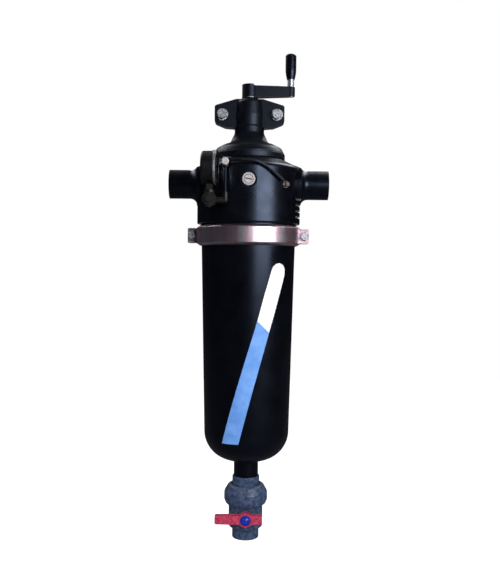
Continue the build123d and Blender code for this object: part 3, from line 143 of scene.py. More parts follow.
def mixColours(tree, mask, under, over):
    node = put(tree, "Mix", data_type="RGBA")
    feed(tree, mask, node.inputs[0])
    feed(tree, under, node.inputs[6])
    feed(tree, over, node.inputs[7])
    return node.outputs[2]


def seenDirectly(tree, mirrored=0.0):
    # one for the camera and for glass that look straight at it, less for polished surfaces
    rays = put(tree, "LightPath")
    straight, through = rays.outputs["Is Camera Ray"], rays.outputs["Is Transmission Ray"]
    seen = maths(tree, "ADD", straight, through, True)
    if mirrored:
        gloss = maths(tree, "MULTIPLY", rays.outputs["Is Glossy Ray"], mirrored)
        seen = maths(tree, "ADD", seen, gloss, True)
    return seen, rays


def makeFloor(values):
    mesh = bpy.data.meshes.new("studioFloor")
    half = values["size"] / 2
    corners = [(-half, -half), (half, -half), (half, half), (-half, half)]
    mesh.from_pydata([(x, y, values["height"]) for x, y in corners], [], [(0, 1, 2, 3)])
    floor = bpy.data.objects.new("studioFloor", mesh)
    scene.collection.objects.link(floor)
    material = bpy.data.materials.new("studioFloor")
    material.use_nodes = True
    tree = material.node_tree
    shader = tree.nodes["Principled BSDF"]
    shader.inputs["Roughness"].default_value = values["rough"]
    shader.inputs["Emission Color"].default_value = (1, 1, 1, 1)
    seen, rays = seenDirectly(tree, values["mirrored"])
    polished = rays.outputs["Is Glossy Ray"]
    colour = mixColours(tree, polished, values["colour"], values["mirroredColour"])
    feed(tree, colour, shader.inputs["Base Color"])
    feed(tree, maths(tree, "MULTIPLY", seen, values["lift"]), shader.inputs["Emission Strength"])
    mesh.materials.append(material)


def makeRoom(values):
    world = bpy.data.worlds.new("studioRoom")
    scene.world = world
    world.use_nodes = True
    tree = world.node_tree
    background = tree.nodes["Background"]
    direction = put(tree, "TexCoord")
    parts = put(tree, "SeparateXYZ")
    feed(tree, direction.outputs["Generated"], parts.inputs[0])
    backness = spread(tree, parts.outputs["Y"], *values["backdropEdge"], 0, 1)
    mirrored = mixColours(tree, backness, values["front"], values["behind"])
    seen, rays = seenDirectly(tree)
    lit = mixColours(tree, rays.outputs["Is Glossy Ray"], values["fill"], mirrored)
    feed(tree, mixColours(tree, seen, lit, values["behind"]), background.inputs["Color"])
    background.inputs["Strength"].default_value = 1.0


makeCamera(cameraSetup)
makeFloor(floorSetup)
makeRoom(roomSetup)
for lampName, lampValues in lampSetup.items():
    makeLamp(lampName, lampValues)
print("camera, floor and", len(lampSetup), "lamps set")


# effects that several finishes share: a noise's detail and roughness, and the two values
# between which each effect goes from none to full
skinSetup = {
    "grainNoise": (3.0, 0.6),
    "mottleNoise": (4.0, 0.65),
    "mottleRange": (0.34, 0.66),
}
rubSetup = {
    "samples": 4,
    "facing": (0.995, 0.8),  # cosine between the rounded and the plain normal
    "patchScale": 260.0,
    "patchNoise": (4.0, 0.7),
    "patchRange": (0.38, 0.62),
}
dustSetup = {
    "upward": (0.3, 1.0),
    "patchNoise": (5.0, 0.7),
    "patchRange": (0.35, 0.7),
    "least": 0.15,  # share that lies between the patches
}
workedSetup = {
    "lineNoise": (4.0, 0.6),
    "lineRange": (0.3, 0.7),
    "patchNoise": (3.0, 0.6),
    "patchRange": (0.35, 0.65),
}


def newEffect(name, inputs, outputs):
    group = bpy.data.node_groups.new(name, "ShaderNodeTree")
    for label, kind, value in inputs:
        socket = group.interface.new_socket(name=label, in_out="INPUT", socket_type=kind)
        socket.default_value = value
    for label in outputs:
        group.interface.new_socket(name=label, in_out="OUTPUT", socket_type="NodeSocketFloat")
    return group, group.nodes.new("NodeGroupInput"), group.nodes.new("NodeGroupOutput")


def noise(tree, place, scale, detail, roughness):
    node = put(tree, "TexNoise")
    feed(tree, place, node.inputs["Vector"])
    feed(tree, scale, node.inputs["Scale"])
    node.inputs["Detail"].default_value = detail
    node.inputs["Roughness"].default_value = roughness
    return node.outputs[0]


def makeMouldedSkin(values):
    # fine grain of a moulded surface, and the broad cloudiness under it
    group, start, end = newEffect(
        "mouldedSkin",
        [("Grain Scale", "NodeSocketFloat", 900.0), ("Mottle Scale", "NodeSocketFloat", 30.0)],
        ["Height", "Mottle"],
    )
    place = put(group, "TexCoord").outputs["Object"]
    grain = noise(group, place, start.outputs["Grain Scale"], *values["grainNoise"])
    mottle = noise(group, place, start.outputs["Mottle Scale"], *values["mottleNoise"])
    feed(group, grain, end.inputs["Height"])
    feed(group, spread(group, mottle, *values["mottleRange"], 0, 1), end.inputs["Mottle"])
    return group


def makeRubbedEdges(values):
    # broken patches where the rounded normal leans away from the plain one
    group, start, end = newEffect(
        "rubbedEdges",
        [("Width", "NodeSocketFloat", 0.0012), ("Wear", "NodeSocketFloat", 0.5)],
        ["Mask"],
    )
    rounded = put(group, "Bevel", samples=values["samples"])
    feed(group, start.outputs["Width"], rounded.inputs["Radius"])
    plain = put(group, "NewGeometry")
    facing = put(group, "VectorMath", operation="DOT_PRODUCT")
    feed(group, rounded.outputs[0], facing.inputs[0])
    feed(group, plain.outputs["Normal"], facing.inputs[1])
    turned = spread(group, facing.outputs["Value"], *values["facing"], 0, 1)
    place = put(group, "TexCoord").outputs["Object"]
    cloud = noise(group, place, values["patchScale"], *values["patchNoise"])
    broken = spread(group, cloud, *values["patchRange"], 0, 1)
    worn = maths(group, "MULTIPLY", turned, broken)
    feed(group, maths(group, "MULTIPLY", worn, start.outputs["Wear"], True), end.inputs["Mask"])
    return group


def makeSettledDust(values):
    # patches on what faces up
    group, start, end = newEffect(
        "settledDust",
        [("Amount", "NodeSocketFloat", 0.3), ("Patch Scale", "NodeSocketFloat", 40.0)],
        ["Mask"],
    )
    parts = put(group, "SeparateXYZ")
    feed(group, put(group, "NewGeometry").outputs["Normal"], parts.inputs[0])
    upward = spread(group, parts.outputs["Z"], *values["upward"], 0, 1)
    place = put(group, "TexCoord").outputs["Object"]
    cloud = noise(group, place, start.outputs["Patch Scale"], *values["patchNoise"])
    patches = spread(group, cloud, *values["patchRange"], values["least"], 1)
    lying = maths(group, "MULTIPLY", upward, patches)
    feed(group, maths(group, "MULTIPLY", lying, start.outputs["Amount"], True), end.inputs["Mask"])
    return group


def makeWorkedMetal(values):
    # lines left by rolling or turning: long where the place is stretched least
    group, start, end = newEffect(
        "workedMetal",
        [
            ("Stretch", "NodeSocketVector", (12.0, 12.0, 1400.0)),
            ("Patch Stretch", "NodeSocketVector", (35.0, 35.0, 35.0)),
        ],
        ["Lines", "Patches"],
    )
    place = put(group, "TexCoord").outputs["Object"]
    drawn = []
    for label in ("Stretch", "Patch Stretch"):
        node = put(group, "VectorMath", operation="MULTIPLY")
        feed(group, place, node.inputs[0])
        feed(group, start.outputs[label], node.inputs[1])
        drawn.append(node.outputs[0])
    lines = noise(group, drawn[0], 1.0, *values["lineNoise"])
    # patches: stains on most metals, painted reflection stripes on the rolled stainless
    patches = noise(group, drawn[1], 1.0, *values["patchNoise"])
    feed(group, spread(group, lines, *values["lineRange"], 0, 1), end.inputs["Lines"])
    feed(group, spread(group, patches, *values["patchRange"], 0, 1), end.inputs["Patches"])
    return group


mouldedSkin = makeMouldedSkin(skinSetup)
rubbedEdges = makeRubbedEdges(rubSetup)
settledDust = makeSettledDust(dustSetup)
workedMetal = makeWorkedMetal(workedSetup)
print("shared effects built")


def useEffect(tree, group, **values):
    node = tree.nodes.new("ShaderNodeGroup")
    node.node_tree = group
    for label, value in values.items():
        node.inputs[label.replace("_", " ")].default_value = value
    return node.outputs


def newFinish(name):
    material = bpy.data.materials.new(name)
    material.use_nodes = True
    return material, material.node_tree, material.node_tree.nodes["Principled BSDF"]


def bump(tree, height, strength, distance, shader):
    node = put(tree, "Bump")
    node.inputs["Strength"].default_value = strength
    node.inputs["Distance"].default_value = distance
    feed(tree, height, node.inputs["Height"])
    feed(tree, node.outputs[0], shader.inputs["Normal"])


# plastics: dark and light of the cloudiness, roughness from and to, scales of the grain and the
# cloudiness, depth of the grain, colour and amount of edge rub, dust on top, tint of the gloss
plasticFinishes = {
    "glossBlack": {
        "dark": (0.0007, 0.0008, 0.0014), "light": (0.0018, 0.002, 0.0035), "rough": (0.26, 0.36),
        "grain": 700, "mottle": 26, "depth": 0.1, "rub": (0.03, 0.033, 0.045), "wear": 0.45,
        "dust": 0.035, "gloss": (0.54, 0.67, 1.0),
    },
    "satinBlack": {
        "dark": (0.0006, 0.0007, 0.0012), "light": (0.0015, 0.0017, 0.003), "rough": (0.26, 0.34),
        "grain": 620, "mottle": 16, "depth": 0.12, "rub": (0.025, 0.027, 0.035), "wear": 0.35,
        "dust": 0.03, "gloss": (0.54, 0.67, 1.0),
    },
    "gaugeBlack": {
        "dark": (0.001, 0.001, 0.0013), "light": (0.003, 0.003, 0.0035), "rough": (0.4, 0.5),
        "grain": 1100, "mottle": 60, "depth": 0.16, "rub": (0.04, 0.04, 0.045), "wear": 0.3,
        "dust": 0.04,
    },
    "tubeBlack": {
        "dark": (0.0008, 0.0009, 0.0014), "light": (0.002, 0.0022, 0.003), "rough": (0.48, 0.6),
        "grain": 1500, "mottle": 120, "depth": 0.08, "rub": (0.05, 0.05, 0.05), "wear": 0.1,
        "dust": 0.04, "gloss": (0.54, 0.67, 1.0),
    },
    "housingBlack": {
        "dark": (0.0007, 0.0008, 0.0014), "light": (0.002, 0.0024, 0.0045), "rough": (0.36, 0.5),
        "grain": 420, "mottle": 210, "depth": 0.34, "rub": (0.03, 0.033, 0.045), "wear": 0.4,
        "dust": 0.04, "gloss": (0.6, 0.72, 1.0),
    },
    "mottledPvc": {
        "dark": (0.014, 0.026, 0.06), "light": (0.066, 0.105, 0.195), "rough": (0.32, 0.44),
        "grain": 480, "mottle": 150, "depth": 0.32, "rub": (0.16, 0.18, 0.21), "wear": 0.5,
        "dust": 0.22,
    },
    "handleRed": {
        "dark": (0.36, 0.016, 0.052), "light": (0.52, 0.055, 0.125), "rough": (0.24, 0.34),
        "grain": 620, "mottle": 130, "depth": 0.16, "rub": (0.88, 0.34, 0.4), "wear": 0.55,
        "dust": 0.08,
    },
    "capBlue": {
        "dark": (0.004, 0.014, 0.22), "light": (0.008, 0.03, 0.36), "rough": (0.2, 0.28),
        "grain": 900, "mottle": 90, "depth": 0.06, "rub": (0.12, 0.2, 0.6), "wear": 0.4,
        "dust": 0.05,
    },
    "greyAcetal": {
        "dark": (0.25, 0.23, 0.24), "light": (0.52, 0.48, 0.49), "rough": (0.35, 0.5),
        "grain": 900, "mottle": 420, "depth": 0.3, "rub": (0.75, 0.74, 0.73), "wear": 0.4,
        "dust": 0.1,
    },
    "whiteAcetal": {
        "dark": (0.74, 0.74, 0.72), "light": (0.82, 0.83, 0.82), "rough": (0.3, 0.42),
        "grain": 900, "mottle": 60, "depth": 0.1, "rub": (0.9, 0.9, 0.9), "wear": 0.2,
        "dust": 0.05,
    },
    "sealRubber": {
        "dark": (0.012, 0.012, 0.012), "light": (0.024, 0.024, 0.025), "rough": (0.55, 0.7),
        "grain": 1400, "mottle": 180, "depth": 0.2, "rub": (0.06, 0.06, 0.06), "wear": 0.2,
        "dust": 0.2,
    },
    "dialWhite": {
        "dark": (0.8, 0.79, 0.74), "light": (0.86, 0.86, 0.83), "rough": (0.5, 0.6),
        "grain": 1600, "mottle": 70, "depth": 0.04, "rub": (0.8, 0.8, 0.78), "wear": 0.0,
        "dust": 0.0,
    },
    "dialInk": {
        "dark": (0.008, 0.008, 0.01), "light": (0.018, 0.018, 0.02), "rough": (0.45, 0.55),
        "grain": 1600, "mottle": 200, "depth": 0.04, "rub": (0.02, 0.02, 0.02), "wear": 0.0,
        "dust": 0.0,
    },
    "labelWhite": {
        "dark": (0.88, 0.89, 0.91), "light": (0.95, 0.96, 0.97), "rough": (0.28, 0.36),
        "grain": 420, "mottle": 40, "depth": 0.05, "rub": (0.8, 0.8, 0.8), "wear": 0.1,
        "dust": 0.05,
    },
    "labelBlue": {
        "dark": (0.11, 0.27, 0.68), "light": (0.17, 0.37, 0.8), "rough": (0.28, 0.36),
        "grain": 420, "mottle": 40, "depth": 0.05, "rub": (0.5, 0.62, 0.85), "wear": 0.1,
        "dust": 0.05,
    },
}
plasticWear = {
    "rubWidth": 0.0011,
    "dustPatch": 55.0,
    "dustColour": (0.2, 0.19, 0.18),
    "dustRough": 0.35,  # roughness that dust adds
    "grainHeight": 0.0004,
}


def makePlastic(name, look, wear):
    material, tree, shader = newFinish(name)
    skin = useEffect(tree, mouldedSkin, Grain_Scale=look["grain"], Mottle_Scale=look["mottle"])
    colour = mixColours(tree, skin["Mottle"], look["dark"], look["light"])
    rough = spread(tree, skin["Mottle"], 0, 1, *look["rough"])
    if look["wear"]:
        worn = useEffect(tree, rubbedEdges, Width=wear["rubWidth"], Wear=look["wear"])["Mask"]
        colour = mixColours(tree, worn, colour, look["rub"])
    if look["dust"]:
        lying = useEffect(tree, settledDust, Amount=look["dust"], Patch_Scale=wear["dustPatch"])
        dust = lying["Mask"]
        colour = mixColours(tree, dust, colour, wear["dustColour"])
        added = maths(tree, "MULTIPLY", dust, wear["dustRough"])
        rough = maths(tree, "ADD", rough, added, True)
    feed(tree, colour, shader.inputs["Base Color"])
    feed(tree, rough, shader.inputs["Roughness"])
    shader.inputs["Specular Tint"].default_value = (*look.get("gloss", (1, 1, 1)), 1)
    bump(tree, skin["Height"], look["depth"], wear["grainHeight"], shader)
    return material


# metals: clean colour and patch colour (stains; painted reflection stripes on the rolled
# stainless), roughness from and to, how much the lines and the patches are stretched each way,
# depth of the lines, colour and amount of edge rub
metalFinishes = {
    "rolledStainless": {
        # pink patches stretched up the band into stripes: painted reflections of the room
        "clean": (0.74, 0.76, 0.82), "stainAndPaintedReflection": (0.84, 0.5, 0.6), "rough": (0.3, 0.48),
        "stretch": (9.0, 9.0, 1500.0), "patch": (62.0, 20.0, 5.0),
        "depth": 0.14, "rub": (0.9, 0.9, 0.92), "wear": 0.8,
    },
    "zincPlate": {
        "clean": (0.95, 0.96, 1.0), "stainAndPaintedReflection": (0.26, 0.29, 0.38), "rough": (0.36, 0.62),
        "stretch": (420.0, 420.0, 420.0), "patch": (330.0, 330.0, 330.0),
        "depth": 0.6, "rub": (0.92, 0.92, 0.93), "wear": 0.7,
    },
    "groundSteel": {
        "clean": (0.86, 0.88, 0.93), "stainAndPaintedReflection": (0.68, 0.7, 0.75), "rough": (0.4, 0.55),
        "stretch": (30.0, 30.0, 2600.0), "patch": (60.0, 60.0, 60.0),
        "depth": 0.08, "rub": (0.8, 0.8, 0.82), "wear": 0.3,
    },
    "turnedBronze": {
        "clean": (0.44, 0.27, 0.12), "stainAndPaintedReflection": (0.25, 0.14, 0.07), "rough": (0.26, 0.4),
        "stretch": (30.0, 30.0, 2200.0), "patch": (90.0, 90.0, 90.0),
        "depth": 0.12, "rub": (0.6, 0.42, 0.22), "wear": 0.4,
    },
    "dullBrass": {
        "clean": (0.8, 0.74, 0.68), "stainAndPaintedReflection": (0.16, 0.09, 0.06), "rough": (0.3, 0.5),
        "stretch": (300.0, 300.0, 300.0), "patch": (190.0, 190.0, 190.0),
        "depth": 0.25, "rub": (0.7, 0.62, 0.5), "wear": 0.7,
    },
}
metalWear = {"rubWidth": 0.0009, "lineHeight": 0.0002}


def makeMetal(name, look, wear):
    material, tree, shader = newFinish(name)
    shader.inputs["Metallic"].default_value = 1.0
    worked = useEffect(tree, workedMetal, Stretch=look["stretch"], Patch_Stretch=look["patch"])
    # the patch colour is stain on most metals and painted reflection on the rolled stainless
    colour = mixColours(tree, worked["Patches"], look["clean"], look["stainAndPaintedReflection"])
    worn = useEffect(tree, rubbedEdges, Width=wear["rubWidth"], Wear=look["wear"])["Mask"]
    colour = mixColours(tree, worn, colour, look["rub"])
    feed(tree, colour, shader.inputs["Base Color"])
    feed(tree, spread(tree, worked["Lines"], 0, 1, *look["rough"]), shader.inputs["Roughness"])
    bump(tree, worked["Lines"], look["depth"], wear["lineHeight"], shader)
    return material


wovenScreen = {
    "wires": 760,  # round the tube
    "pitch": 0.0005,  # up the tube
    "wire": (0.55, 0.55, 0.57),
    # the gaps between the wires are painted dark, as the shade seen through the mesh
    "hole": (0.03, 0.03, 0.035),
    "range": (-0.2, 0.9),  # from hole to the top of a wire
    "rough": (0.6, 0.32),
    "strength": 0.6,
    "wireHeight": 0.00015,
}


def makeWovenScreen(look):
    # round wires along the tube and round it, from the angle and the height
    material, tree, shader = newFinish("wovenScreen")
    shader.inputs["Metallic"].default_value = 1.0
    parts = put(tree, "SeparateXYZ")
    feed(tree, put(tree, "TexCoord").outputs["Object"], parts.inputs[0])
    angle = maths(tree, "ARCTAN2", parts.outputs["Y"], parts.outputs["X"])
    upright = maths(tree, "SINE", maths(tree, "MULTIPLY", angle, look["wires"]))
    upward = maths(tree, "MULTIPLY", parts.outputs["Z"], 2 * math.pi / look["pitch"])
    level = maths(tree, "SINE", upward)
    height = spread(tree, maths(tree, "MAXIMUM", upright, level), *look["range"], 0, 1)
    feed(tree, mixColours(tree, height, look["hole"], look["wire"]), shader.inputs["Base Color"])
    feed(tree, spread(tree, height, 0, 1, *look["rough"]), shader.inputs["Roughness"])
    bump(tree, height, look["strength"], look["wireHeight"], shader)
    return material


clearPane = {
    "tint": (0.96, 0.98, 1.0),
    "rough": 0.04,
    "refraction": 1.49,
    "grain": 300.0,
    "mottle": 40.0,
    "scratch": 0.05,
    "scratchHeight": 0.0001,
}


def makeClearPane(look):
    material, tree, shader = newFinish("clearPane")
    shader.inputs["Base Color"].default_value = (*look["tint"], 1)
    shader.inputs["Transmission Weight"].default_value = 1.0
    shader.inputs["Roughness"].default_value = look["rough"]
    shader.inputs["IOR"].default_value = look["refraction"]
    skin = useEffect(tree, mouldedSkin, Grain_Scale=look["grain"], Mottle_Scale=look["mottle"])
    bump(tree, skin["Height"], look["scratch"], look["scratchHeight"], shader)
    return material


finishes = {}
for finishName, finishLook in plasticFinishes.items():
    finishes[finishName] = makePlastic(finishName, finishLook, plasticWear)
for finishName, finishLook in metalFinishes.items():
    finishes[finishName] = makeMetal(finishName, finishLook, metalWear)
finishes["wovenScreen"] = makeWovenScreen(wovenScreen)
finishes["clearPane"] = makeClearPane(clearPane)

# which finish goes on each slot, and on the nodes that differ from their slot
slotFinish = {
    "black_plastic": "glossBlack", "pvc": "mottledPvc", "red_plastic": "handleRed",
    "blue_plastic": "capBlue", "stainless": "rolledStainless", "zinc_steel": "zincPlate",
    "steel_pin": "groundSteel", "screen_steel": "wovenScreen", "grey_plastic": "greyAcetal",
    "white_plastic": "whiteAcetal", "seal_rubber": "sealRubber", "bronze": "turnedBronze",
    "brass": "dullBrass", "dial_white": "dialWhite", "clear": "clearPane",
    "tube_black": "tubeBlack",
}
ownFinish = {
    "bowl": "satinBlack", "drive_housing_front": "housingBlack",
    "drive_housing_rear": "housingBlack", "bonnet": "housingBlack", "crank_arm": "housingBlack",
    "gauge_case": "gaugeBlack", "gauge_needle": "dialInk", "selector_body": "gaugeBlack",
    "selector_knob": "gaugeBlack", "tube_tee": "gaugeBlack",
}


def paint(node, name):
    mesh = node.data
    mesh.materials.clear()
    mesh.materials.append(finishes[name])


for part in frame["record"]["subparts"]:
    name = part["node"]
    paint(cadNodes[name], ownFinish.get(name, slotFinish[part["material_slot"]]))
print("finishes on", len(cadNodes), "nodes")


meshSetup = {"weld": 1e-7, "sharpAngle": 32}


def newPiece(name, points, faces, body, slot, finish, smooth=True):
    mesh = bpy.data.meshes.new(name)
    mesh.from_pydata(points, [], faces)
    form = bmesh.new()
    form.from_mesh(mesh)
    bmesh.ops.remove_doubles(form, verts=form.verts, dist=meshSetup["weld"])
    bmesh.ops.recalc_face_normals(form, faces=form.faces)
    form.to_mesh(mesh)
    form.free()
    piece = bpy.data.objects.new(name, mesh)
    scene.collection.objects.link(piece)
    mesh.materials.append(finishes[finish])
    if smooth:
        mesh.shade_smooth()
        mesh.set_sharp_from_angle(angle=math.radians(meshSetup["sharpAngle"]))
    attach(piece, body)
    return piece


# vinyl strip that winds up the front of the bowl: each point is degrees round from the front
# and millimetres up; the bowl's skin is in metres, its draft in degrees
bowlSkin = {"topRadius": 0.0974, "top": 0.617, "draft": 1.28, "proud": 0.00035}
labelStrip = {
    "leftEdge": [(-33.3, 215.4), (-10.6, 339.0), (12.2, 463.4)],
    "rightEdge": [(-10.1, 215.7), (8.6, 330.0), (27.6, 440.0)],
    "upperLeft": [
        (12.2, 463.4), (20.6, 516.0), (29.0, 563.0), (31.2, 571.8), (35.4, 577.2), (40.6, 579.0),
    ],
    "upperRight": [
        (27.6, 440.0), (39.0, 501.0), (50.0, 556.0), (50.0, 566.8), (46.6, 575.2), (40.8, 579.0),
    ],
    "rows": 10,  # between two points
    "columns": 14,
}


def onBowl(angle, height, skin):
    radius = skin["topRadius"] - (skin["top"] - height) * math.tan(math.radians(skin["draft"]))
    radius += skin["proud"]
    turn = math.radians(angle)
    return (radius * math.sin(turn), -radius * math.cos(turn), height)


def makeLabelPart(name, leftPoints, rightPoints, finish, values):
    columns, rows = values["columns"], values["rows"]
    pairs = [(Vector(left), Vector(right)) for left, right in zip(leftPoints, rightPoints)]
    edges = []
    for (left, right), (leftAbove, rightAbove) in zip(pairs, pairs[1:]):
        for row in range(rows):
            along = row / rows
            edges.append((left.lerp(leftAbove, along), right.lerp(rightAbove, along)))
    edges.append(pairs[-1])
    wide = columns + 1
    points = [left.lerp(right, c / columns) for left, right in edges for c in range(wide)]
    faces = [
        (r * wide + c, r * wide + c + 1, (r + 1) * wide + c + 1, (r + 1) * wide + c)
        for r in range(len(edges) - 1)
        for c in range(columns)
    ]
    places = [onBowl(p[0], p[1] / 1000, bowlSkin) for p in points]
    return newPiece(name, places, faces, "vessel", "white_plastic", finish)


for labelName, leftEdge, rightEdge, labelFinish in (
    ("labelLower", "leftEdge", "rightEdge", "labelBlue"),
    ("labelUpper", "upperLeft", "upperRight", "labelWhite"),
):
    makeLabelPart(labelName, labelStrip[leftEdge], labelStrip[rightEdge], labelFinish, labelStrip)
print("label laid on the bowl")


# hexagon bolts and nuts; they lie along Y with their heads to the front, at places of x and z,
# and all other values but the turn are in metres
housingBolts = {
    "places": [(-0.0565, 0.885), (0.0565, 0.885)], "flats": 0.019, "threadRadius": 0.006,
    "pitch": 0.00175, "headFront": -0.0245, "headBack": -0.017, "threadStart": 0.012,
    "end": 0.031, "nutLow": 0.017, "nutHigh": 0.027, "turn": 0.0,
}
clampBolts = {
    "places": [(-0.1175, 0.635), (0.1175, 0.635)], "flats": 0.016, "threadRadius": 0.005,
    "pitch": 0.0015, "headFront": -0.0122, "headBack": -0.0057, "threadStart": 0.003,
    "end": 0.0177, "nutLow": 0.0057, "nutHigh": 0.0137, "turn": 0.0,
}
# widths are shares of the width across flats, the dish's floor and rim of the dish, and depths
# are metres
headForm = {
    "sides": 96, "dish": 0.36, "dishFloor": 0.5, "dishRim": 1.06, "face": 0.47, "cut": 0.52,
    "washer": 0.475, "dishDepth": 0.0005, "cutDepth": 0.0008, "cornerDepth": 0.0021,
    "washerThick": 0.0006,
}
nutForm = {
    "sides": 96, "cut": 0.51, "cornerDepth": 0.0012, "holeSlack": 0.0002, "mouthSlack": 0.0004,
    "mouthDepth": 0.0005,
}
# depth is a share of the pitch, the tip one of the radius, fades are steps of the thread
threadForm = {
    "sides": 40, "stepsPerTurn": 6, "slack": 0.0001, "sunk": 0.0005, "depth": 0.54,
    "fadeIn": 6, "fadeOut": 3, "leastFade": 0.4, "tip": 0.72,
}


def ringOf(radii, y):
    step = 2 * math.pi / len(radii)
    return [(r * math.sin(k * step), y, r * math.cos(k * step)) for k, r in enumerate(radii)]


def roundRing(radius, y, sides):
    return ringOf([radius] * sides, y)


def hexRadii(flats, count, limit, turn):
    # outline of a hexagon, cut back to a circle where it stands out further
    radii = []
    for k in range(count):
        angle = (2 * math.pi * k / count + turn) % (math.pi / 3) - math.pi / 6
        radii.append(min(flats / 2 / math.cos(angle), limit))
    return radii


def stackRings(rings, closeEnds=True):
    count = len(rings[0])
    points = [p for ringPoints in rings for p in ringPoints]
    faces = []
    for r in range(len(rings) - 1):
        low, high = r * count, (r + 1) * count
        for k in range(count):
            after = (k + 1) % count
            faces.append((low + k, low + after, high + after, high + k))
    if closeEnds:
        faces.append(tuple(range(count)))
        faces.append(tuple((len(rings) - 1) * count + k for k in range(count)))
    return points, faces


def moved(points, x, z):
    return [(px + x, py, pz + z) for px, py, pz in points]


def joined(parts):
    points, faces = [], []
    for partPoints, partFaces in parts:
        start = len(points)
        points += partPoints
        faces += [tuple(start + k for k in face) for face in partFaces]
    return points, faces


def boltHead(values, form):
    flats, sides, turn = values["flats"], form["sides"], values["turn"]
    front, back = values["headFront"], values["headBack"]
    dish, washer = flats * form["dish"], flats * form["washer"]
    cut = hexRadii(flats, sides, flats * form["cut"], turn)
    full = hexRadii(flats, sides, flats / math.sqrt(3), turn)
    under = back - form["washerThick"]
    return stackRings([
        roundRing(dish * form["dishFloor"], front + form["dishDepth"], sides),
        roundRing(dish, front + form["dishDepth"], sides),
        roundRing(dish * form["dishRim"], front, sides),
        roundRing(flats * form["face"], front, sides),
        ringOf(cut, front + form["cutDepth"]),
        ringOf(full, front + form["cornerDepth"]),
        ringOf(full, under),
        roundRing(washer, under, sides),
        roundRing(washer, back, sides),
    ])


def threadedShank(values, form):
    sides, pitch = form["sides"], values["pitch"]
    radius = values["threadRadius"] - form["slack"]
    depth = form["depth"] * pitch
    start, end = values["threadStart"], values["end"]
    rings = [
        roundRing(radius, values["headBack"] - form["sunk"], sides),
        roundRing(radius, start, sides),
    ]
    steps = int((end - start) / pitch * form["stepsPerTurn"])
    for step in range(1, steps + 1):
        y = start + (end - start) * step / steps
        fadeIn = min(1, step / form["fadeIn"])
        fade = fadeIn * min(1, (steps - step) / form["fadeOut"] + form["leastFade"])
        radii = []
        for k in range(sides):
            phase = ((y - start) / pitch + k / sides) % 1
            radii.append(radius - depth * fade * abs(2 * phase - 1))
        rings.append(ringOf(radii, y))
    rings.append(roundRing(radius * form["tip"], end, sides))
    return stackRings(rings)


def nutBody(values, form):
    flats, sides, turn = values["flats"], form["sides"], values["turn"]
    hole = values["threadRadius"] + form["holeSlack"]
    low, high = values["nutLow"], values["nutHigh"]
    cut = hexRadii(flats, sides, flats * form["cut"], turn)
    full = hexRadii(flats, sides, flats / math.sqrt(3), turn)
    return stackRings([
        roundRing(hole, low, sides),
        ringOf(cut, low),
        ringOf(full, low + form["cornerDepth"]),
        ringOf(full, high - form["cornerDepth"]),
        ringOf(cut, high),
        roundRing(hole + form["mouthSlack"], high, sides),
        roundRing(hole, high - form["mouthDepth"], sides),
        roundRing(hole, low, sides),
    ], closeEnds=False)


for boltName, nutName, values in (
    ("housing_bolts", "housing_nuts", housingBolts),
    ("clamp_bolts", "clamp_nuts", clampBolts),
):
    bolts, nuts = [], []
    for x, z in values["places"]:
        for points, faces in (boltHead(values, headForm), threadedShank(values, threadForm)):
            bolts.append((moved(points, x, z), faces))
        points, faces = nutBody(values, nutForm)
        nuts.append((moved(points, x, z), faces))
    steel = ("vessel", "zinc_steel", "zincPlate")
    boltPiece = newPiece(boltName + "_detailed", *joined(bolts), *steel)
    nutPiece = newPiece(nutName + "_detailed", *joined(nuts), *steel)
    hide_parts(boltName)
    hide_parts(nutName)
print("bolts and nuts made")


nearAxis = 0.00001  # where a profile ends, so that its ring doesn't weld shut


def lathed(profile, sides=96):
    # profile of (radius, along) from the inside round to the inside, about local z
    angles = [2 * math.pi * k / sides for k in range(sides)]
    rings = [
        [(radius * math.cos(angle), radius * math.sin(angle), along) for angle in angles]
        for radius, along in profile + profile[:1]
    ]
    return stackRings(rings, closeEnds=profile[0][0] == 0)


def placed(points, spot):
    return [tuple(spot @ Vector(p)) for p in points]


def lookingOut(centre, out):
    # local z along the way out, local y up
    out = Vector(out).normalized()
    up = Vector((0, 0, 1))
    turned = Matrix((up.cross(out), up, out)).transposed().to_4x4()
    return Matrix.Translation(Vector(centre)) @ turned


def addFinish(piece, finish, chosen):
    # a second finish on the faces that are chosen by their centre
    mesh = piece.data
    mesh.materials.append(finishes[finish])
    for face in mesh.polygons:
        if chosen(face.center):
            face.material_index = len(mesh.materials) - 1


# gauge: the middle of the case, and how far the glass is turned to the front, in degrees
gaugeSeat = {"centre": (-0.0754, -0.12212, 0.761), "turn": 4.0}
# metres from the middle towards the glass; each point of the outline is at one of the four
# edges, so far in from the radius and so far along
gaugeRim = {
    "radius": 0.0335, "inside": 0.0015, "back": 0.007, "ringBack": 0.0088,
    "ringFront": 0.0133, "front": 0.015,
    "outline": [
        ("back", 0.0015, 0), ("back", 0.0002, 0), ("back", 0, 0.0002),
        ("ringBack", 0, -0.0003), ("ringBack", 0.0005, -0.0001), ("ringBack", 0.0001, 0.0003),
        ("ringBack", 0, 0.0006), ("ringFront", 0, -0.0006), ("ringFront", 0.0001, -0.0003),
        ("ringFront", 0.0005, 0), ("ringFront", 0.0002, 0.0003), ("front", 0.0007, -0.0007),
        ("front", 0.0014, 0), ("front", 0.0041, 0), ("front", 0.0046, -0.0009),
        ("front", 0.0015, -0.0009),
    ],
}


def gaugeWayOut(seat):
    turn = math.radians(seat["turn"])
    return Vector((math.cos(turn), -math.sin(turn), 0))


